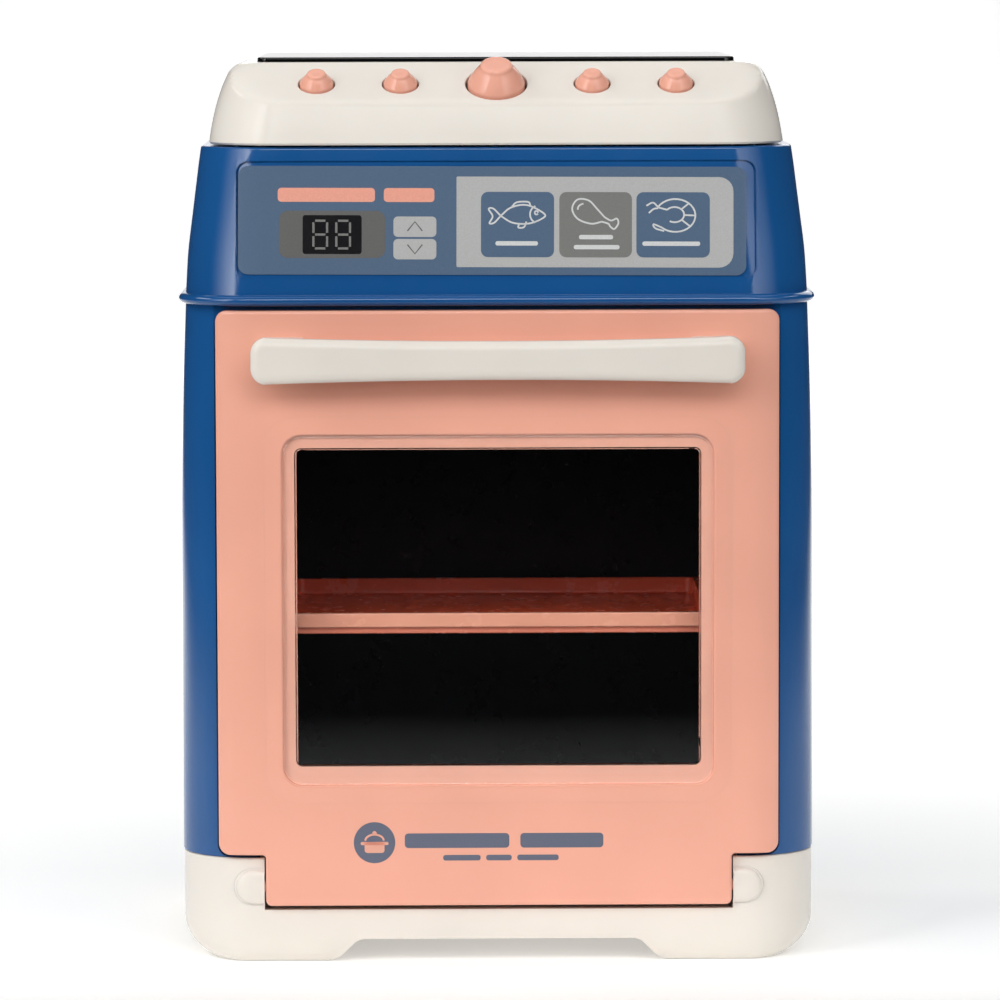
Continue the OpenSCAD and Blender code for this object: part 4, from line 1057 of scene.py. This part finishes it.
def liner_piece():
    y0, y1 = liner_lo.y, liner_hi.y
    z0, z1 = CAVITY_Z
    t = 1.6
    deep = y1 - t - y0
    cavity = rect(-CAVITY_HALF, z0, CAVITY_HALF, z1, 3, 6)
    outer = rect(-CAVITY_HALF - t, z0 - t, CAVITY_HALF + t, z1 + t, 4, 6)
    flange = rect(-67, 30.2, 67, 158, 3, 6)
    rows = [(outer, 0.6, -deep - t), (outer, 0, -deep - t + 0.6), (outer, 0, -t), (flange, 0, -t),
            (flange, 0, 0), (cavity, 0, 0), (cavity, 0.1, -deep + 1.5), (cavity, 0.5, -deep + 0.5),
            (cavity, 1.5, -deep)]
    shell = stood(loft(stacked(rows)), y0)
    rail_top = tray_hi.z - 1.5
    rail = bar((55.2, tray_lo.y + 4, rail_top - 1.8), (CAVITY_HALF + 0.5, y1 - t, rail_top), 0.5, 0.35)
    piece("oven_liner", shell + both_sides(rail), "cooker", navy, ["cavity_liner"])


# ---------- back ----------


def rear_piece():
    y0, t = rear_lo.y, rear_hi.y - rear_lo.y
    spots = [(s * 67.3, z) for s in (-1, 1) for z in (36, 157)]
    cutters = [slab(rect(-34, 104 + 6 * i, 34, 106.4 + 6 * i, 1.15, 6), -3, t + 3) for i in range(7)]
    cutters += [slab(circle(SCREW_HEAD_R + 0.25, 32, x, z), t - 1.3, t + 3) for x, z in spots]
    plate = cut(slab(facing(rear_lo, rear_hi, 0, 4.8), 0, t, 0, 0.35, 3), joined(cutters))
    plate = softened(plate, 0.3, lambda x, y, z: z > t - 0.01 and abs(x) <= rear_hi.x - 1
                     and rear_lo.z + 1 <= y <= rear_hi.z - 1, 40, 2)
    # Raised ribs stiffen the panel below the vents
    ribs = [slab(rect(-48, z, 48, z + 1.6, 0.7, 4), t - 0.2, t + 0.35, 0, 0.3, 3) for z in (52, 62, 72, 82)]
    shape = (plate + joined(ribs)).moved(at(y=y0) @ FACING_BACK)
    piece("rear_cover", shape, "cooker", blue, ["rear_panel"])
    one = screw(11.5)
    lo, hi = box("rear_screws")
    screws = [one.moved(at(s * (hi.x - SCREW_HEAD_R), hi.y - 0.35, z) @ HEAD_BACK)
              for s in (-1, 1) for z in (lo.z + SCREW_HEAD_R, hi.z - SCREW_HEAD_R)]
    piece("rear_fixings", joined(screws), "cooker", steel, ["rear_screws"])


def hatch_piece():
    y0, t = hatch_lo.y, hatch_hi.y - hatch_lo.y
    lo, hi = box("battery_door_screw")
    x, z = (lo.x + hi.x) / 2, (lo.z + hi.z) / 2
    cutter = slab(circle(SCREW_HEAD_R + 0.25, 32, x, z), t - 1.4, t + 3)
    plate = cut(slab(facing(hatch_lo, hatch_hi, 0, 1.8, 6), 0, t, 0, 0.35, 3), cutter)
    grips = []
    for i in range(4):
        left = hatch_lo.x + 4 + 1.9 * i
        grips.append(slab(rect(left, z - 6, left + 0.9, z + 6, 0.4, 4), t - 0.2, t + 0.15, 0, 0.3, 2))
    shape = (plate + joined(grips)).mirrored().moved(at(y=y0) @ FACING_BACK)
    piece("battery_hatch", shape, "cooker", blue, ["battery_door"])
    one = screw(hi.y - lo.y).moved(at(x, hi.y - 0.1, z) @ HEAD_BACK)
    piece("hatch_fixing", one, "cooker", steel, ["battery_door_screw"])


def foot_screws_piece():
    lo, hi = box("base_screws")
    one = screw(hi.z - lo.z)
    screws = [one.moved(at(s * (hi.x - SCREW_HEAD_R), y, lo.z) @ turn(pi, "X"))
              for s in (-1, 1) for y in (lo.y + SCREW_HEAD_R, hi.y - SCREW_HEAD_R)]
    piece("base_fixings", joined(screws), "cooker", steel, ["base_screws"])


# ---------- buttons ----------


def button(name, body, node, x, r, h, top_r, soft):
    """A tapered push button with bulging sides, a soft flat top, a skirt in the panel's hole and a stem."""
    crown = [(top_r - soft + soft * sin(a), h - soft + soft * cos(a)) for a in quarter(6)]
    bend = [(top_r, h - soft), (top_r + (r - top_r) * 0.66, (h - soft) * 0.52), (r, 0.1)]
    side = [tuple((1 - t) ** 2 * a + 2 * t * (1 - t) * b + t * t * c for a, b, c in zip(*bend))
            for t in np.linspace(0, 1, 9)[1:]]
    profile = [(0, h - 0.06), (top_r * 0.4, h - 0.05)] + crown + side
    stem_r = top_r * 0.6
    profile += [(r, -3.5), (r - 1.2, -3.5), (r - 1.2, -0.5), (stem_r + 0.4, -0.8), (stem_r, -6.5), (0, -6.5)]
    shape = lathe(profile[::-1], 72)
    piece(name, shape.moved(panel_frame(x)), body, pink, [node], 50)


def button_pieces():
    button("push_main", "main_button", "button_main", 0.0, 7.2, 5.7, 4.1, 0.9)
    for i, x in enumerate(BUTTON_XS, 1):
        button(f"push_{i}", f"small_button_{i}", f"button_{i}", x, 4.25, 3.3, 2.4, 0.7)


# ---------- inner CAD nodes ----------


def dress_inner_nodes():
    """Procedural materials for the CAD nodes that stay as they are."""
    looks = {
        "screw_steel": steel,
        "contact_metal": nickel,
        "lamp_clear": clear("lamp_resin", srgb(250, 244, 220)),
        "board_green": moulded("solder_mask", srgb(28, 96, 52), 0.35),
        "chip_resin": moulded("chip_resin", srgb(20, 20, 20), 0.3, 0.02),
        "dome_silicone": rubbery("silicone", srgb(214, 212, 204), 0.45),
        "speaker_black": moulded("speaker_paint", srgb(48, 48, 50), 0.4),
        "tray_black": moulded("black_abs", srgb(30, 30, 32), 0.4, 0.02),
        "cell_wrap": moulded("cell_wrap", srgb(196, 152, 64), 0.25),
        "lead_red": rubbery("red_lead", srgb(176, 30, 30)),
        "lead_black": rubbery("black_lead", srgb(28, 28, 28)),
        "lead_yellow": rubbery("yellow_lead", srgb(214, 186, 50)),
    }
    slots = {row["node"]: row["material_slot"] for row in frame["record"]["subparts"]}
    for node, o in frame["nodes"].items():
        if o.hide_render or slots[node] not in looks:
            continue
        o.data.materials.clear()
        o.data.materials.append(looks[slots[node]])


# ---------- stage, light and camera ----------


def backdrop():
    """A floor that curves up into a wall: pale round the object, darker in front and at the sides."""
    flat, bend = 2.6, 1.2
    profile = [(flat, 0.0)] + [(flat + bend * sin(a), bend - bend * cos(a)) for a in quarter(8)[1:]]
    profile.append((flat + bend, 4.0))
    steps = 64
    turns = [2 * pi * k / steps for k in range(steps)]
    points = [(0.0, 0.0, 0.0)] + [(r * cos(a), r * sin(a), z) for r, z in profile for a in turns]
    faces = [(0, 1 + k, 1 + (k + 1) % steps) for k in range(steps)]
    for i in range(len(profile) - 1):
        a = 1 + i * steps
        b = a + steps
        faces += [(a + k, b + k, b + (k + 1) % steps, a + (k + 1) % steps) for k in range(steps)]
    mesh = bpy.data.meshes.new("studio_sweep")
    mesh.from_pydata(points, [], faces)
    mesh.polygons.foreach_set("use_smooth", [True] * len(faces))
    o = bpy.data.objects.new("studio_sweep", mesh)
    bpy.context.scene.collection.objects.link(o)
    m = Nodes("white_paper")
    parts = m.new("ShaderNodeSeparateXYZ", {"Vector": m.place}).outputs
    near = m.span(m.calc("ABSOLUTE", parts["X"]), 0.45, 0.8, 1.0, 0.0)
    lit = m.span(parts["Y"], -0.5, -0.12)
    pale = m.mixed(m.noise(400, 2), srgb(245, 245, 244), srgb(249, 249, 248))
    pale = m.mixed(near, srgb(105, 105, 106), pale)
    under = m.span(parts["Y"], -0.12, -0.07, 0.0, 0.24)
    # A faint glow keeps the floor under and behind the object white
    glow = m.calc("MULTIPLY", m.calc("ADD", m.span(parts["Y"], 0.1, 0.6, 0.0, 0.56), under), near)
    m.set(base_color=m.mixed(lit, srgb(26, 26, 28), pale), roughness=0.9, specular_ior_level=0.1,
          emission_color=(1.0, 1.0, 1.0, 1.0), emission_strength=glow)
    mesh.materials.append(m.material)


def softbox(name, azimuth, height, distance, width, tall, power, aim_z=0.12, fade=0.0):
    """A rectangular light aimed at the object. Azimuth 0 is the camera's side and 90 the right.

    A fade dims it towards one end, by that power of the way across: above 0 one end, below 0 the other."""
    light = bpy.data.lights.new(name, "AREA")
    light.shape = "RECTANGLE"
    light.size, light.size_y = width, tall
    light.energy = power
    if fade:
        light.use_nodes = True
        tree = light.node_tree
        across = tree.nodes.new("ShaderNodeSeparateXYZ")
        tree.links.new(tree.nodes.new("ShaderNodeNewGeometry").outputs["Parametric"], across.inputs[0])
        ramp = tree.nodes.new("ShaderNodeMapRange")
        tree.links.new(across.outputs["X"], ramp.inputs["Value"])
        ramp.inputs["To Min"].default_value = 1 if fade > 0 else 0
        ramp.inputs["To Max"].default_value = 0 if fade > 0 else 1
        power_curve = tree.nodes.new("ShaderNodeMath")
        power_curve.operation = "POWER"
        power_curve.inputs[1].default_value = abs(fade)
        tree.links.new(ramp.outputs["Result"], power_curve.inputs[0])
        tree.links.new(power_curve.outputs[0], tree.nodes["Emission"].inputs["Strength"])
    o = bpy.data.objects.new(name, light)
    a = radians(azimuth)
    o.location = (distance * sin(a), -distance * cos(a), height)
    o.rotation_euler = (Vector((0, 0, aim_z)) - o.location).to_track_quat("-Z", "Y").to_euler()
    bpy.context.scene.collection.objects.link(o)


def studio():
    backdrop()
    softbox("key_left", -60, 0.72, 1.25, 1.166, 1.05, 30, aim_z=0.17, fade=-2)
    softbox("fill_right", 48, 0.66, 1.35, 1.1, 1.05, 10.5, aim_z=0.17, fade=1)
    softbox("front_fill", 3, 0.98, 1.25, 1.2, 0.5, 9, aim_z=0.25)
    softbox("high_left", -98, 1.2, 1.25, 0.9, 0.26, 4.5, aim_z=0.2)
    softbox("high_right", 98, 1.2, 1.25, 0.9, 0.26, 2.5, aim_z=0.2)
    softbox("overhead", 180, 1.9, 0.25, 1.6, 1.2, 6.5, aim_z=0.2)
    softbox("back_fill", 165, 1.0, 2.0, 1.6, 1.0, 9)
    world = bpy.data.worlds.new("room")
    world.use_nodes = True
    background = world.node_tree.nodes["Background"]
    background.inputs["Color"].default_value = (0.9, 0.95, 1.0, 1.0)
    background.inputs["Strength"].default_value = 0.02
    scene = bpy.context.scene
    scene.world = world
    scene.view_settings.view_transform = "Standard"
    scene.view_settings.look = "None"


def camera():
    """The photograph's view: a long lens, level left to right and looking slightly down."""
    data = bpy.data.cameras.new("camera")
    data.lens, data.sensor_width = 193.0, 36.0
    data.clip_end = 20.0
    o = bpy.data.objects.new("camera", data)
    o.location = (-0.0135, -1.380, 0.250)
    o.rotation_mode = "XYZ"
    yaw, pitch, roll = radians(-0.603), radians(90 - 5.69), radians(-0.15)
    o.rotation_euler = (turn(yaw, "Z") @ turn(pitch, "X") @ turn(roll, "Z")).to_euler()
    bpy.context.scene.collection.objects.link(o)
    bpy.context.scene.camera = o


camera()
base_piece()
lower_piece()
upper_piece()
cover_piece()
hob_piece()
label_piece()
door_piece()
window_piece()
handle_piece()
door_mark()
handle_screw_piece()
tray_piece()
liner_piece()
rear_piece()
hatch_piece()
foot_screws_piece()
button_pieces()
dress_inner_nodes()
studio()
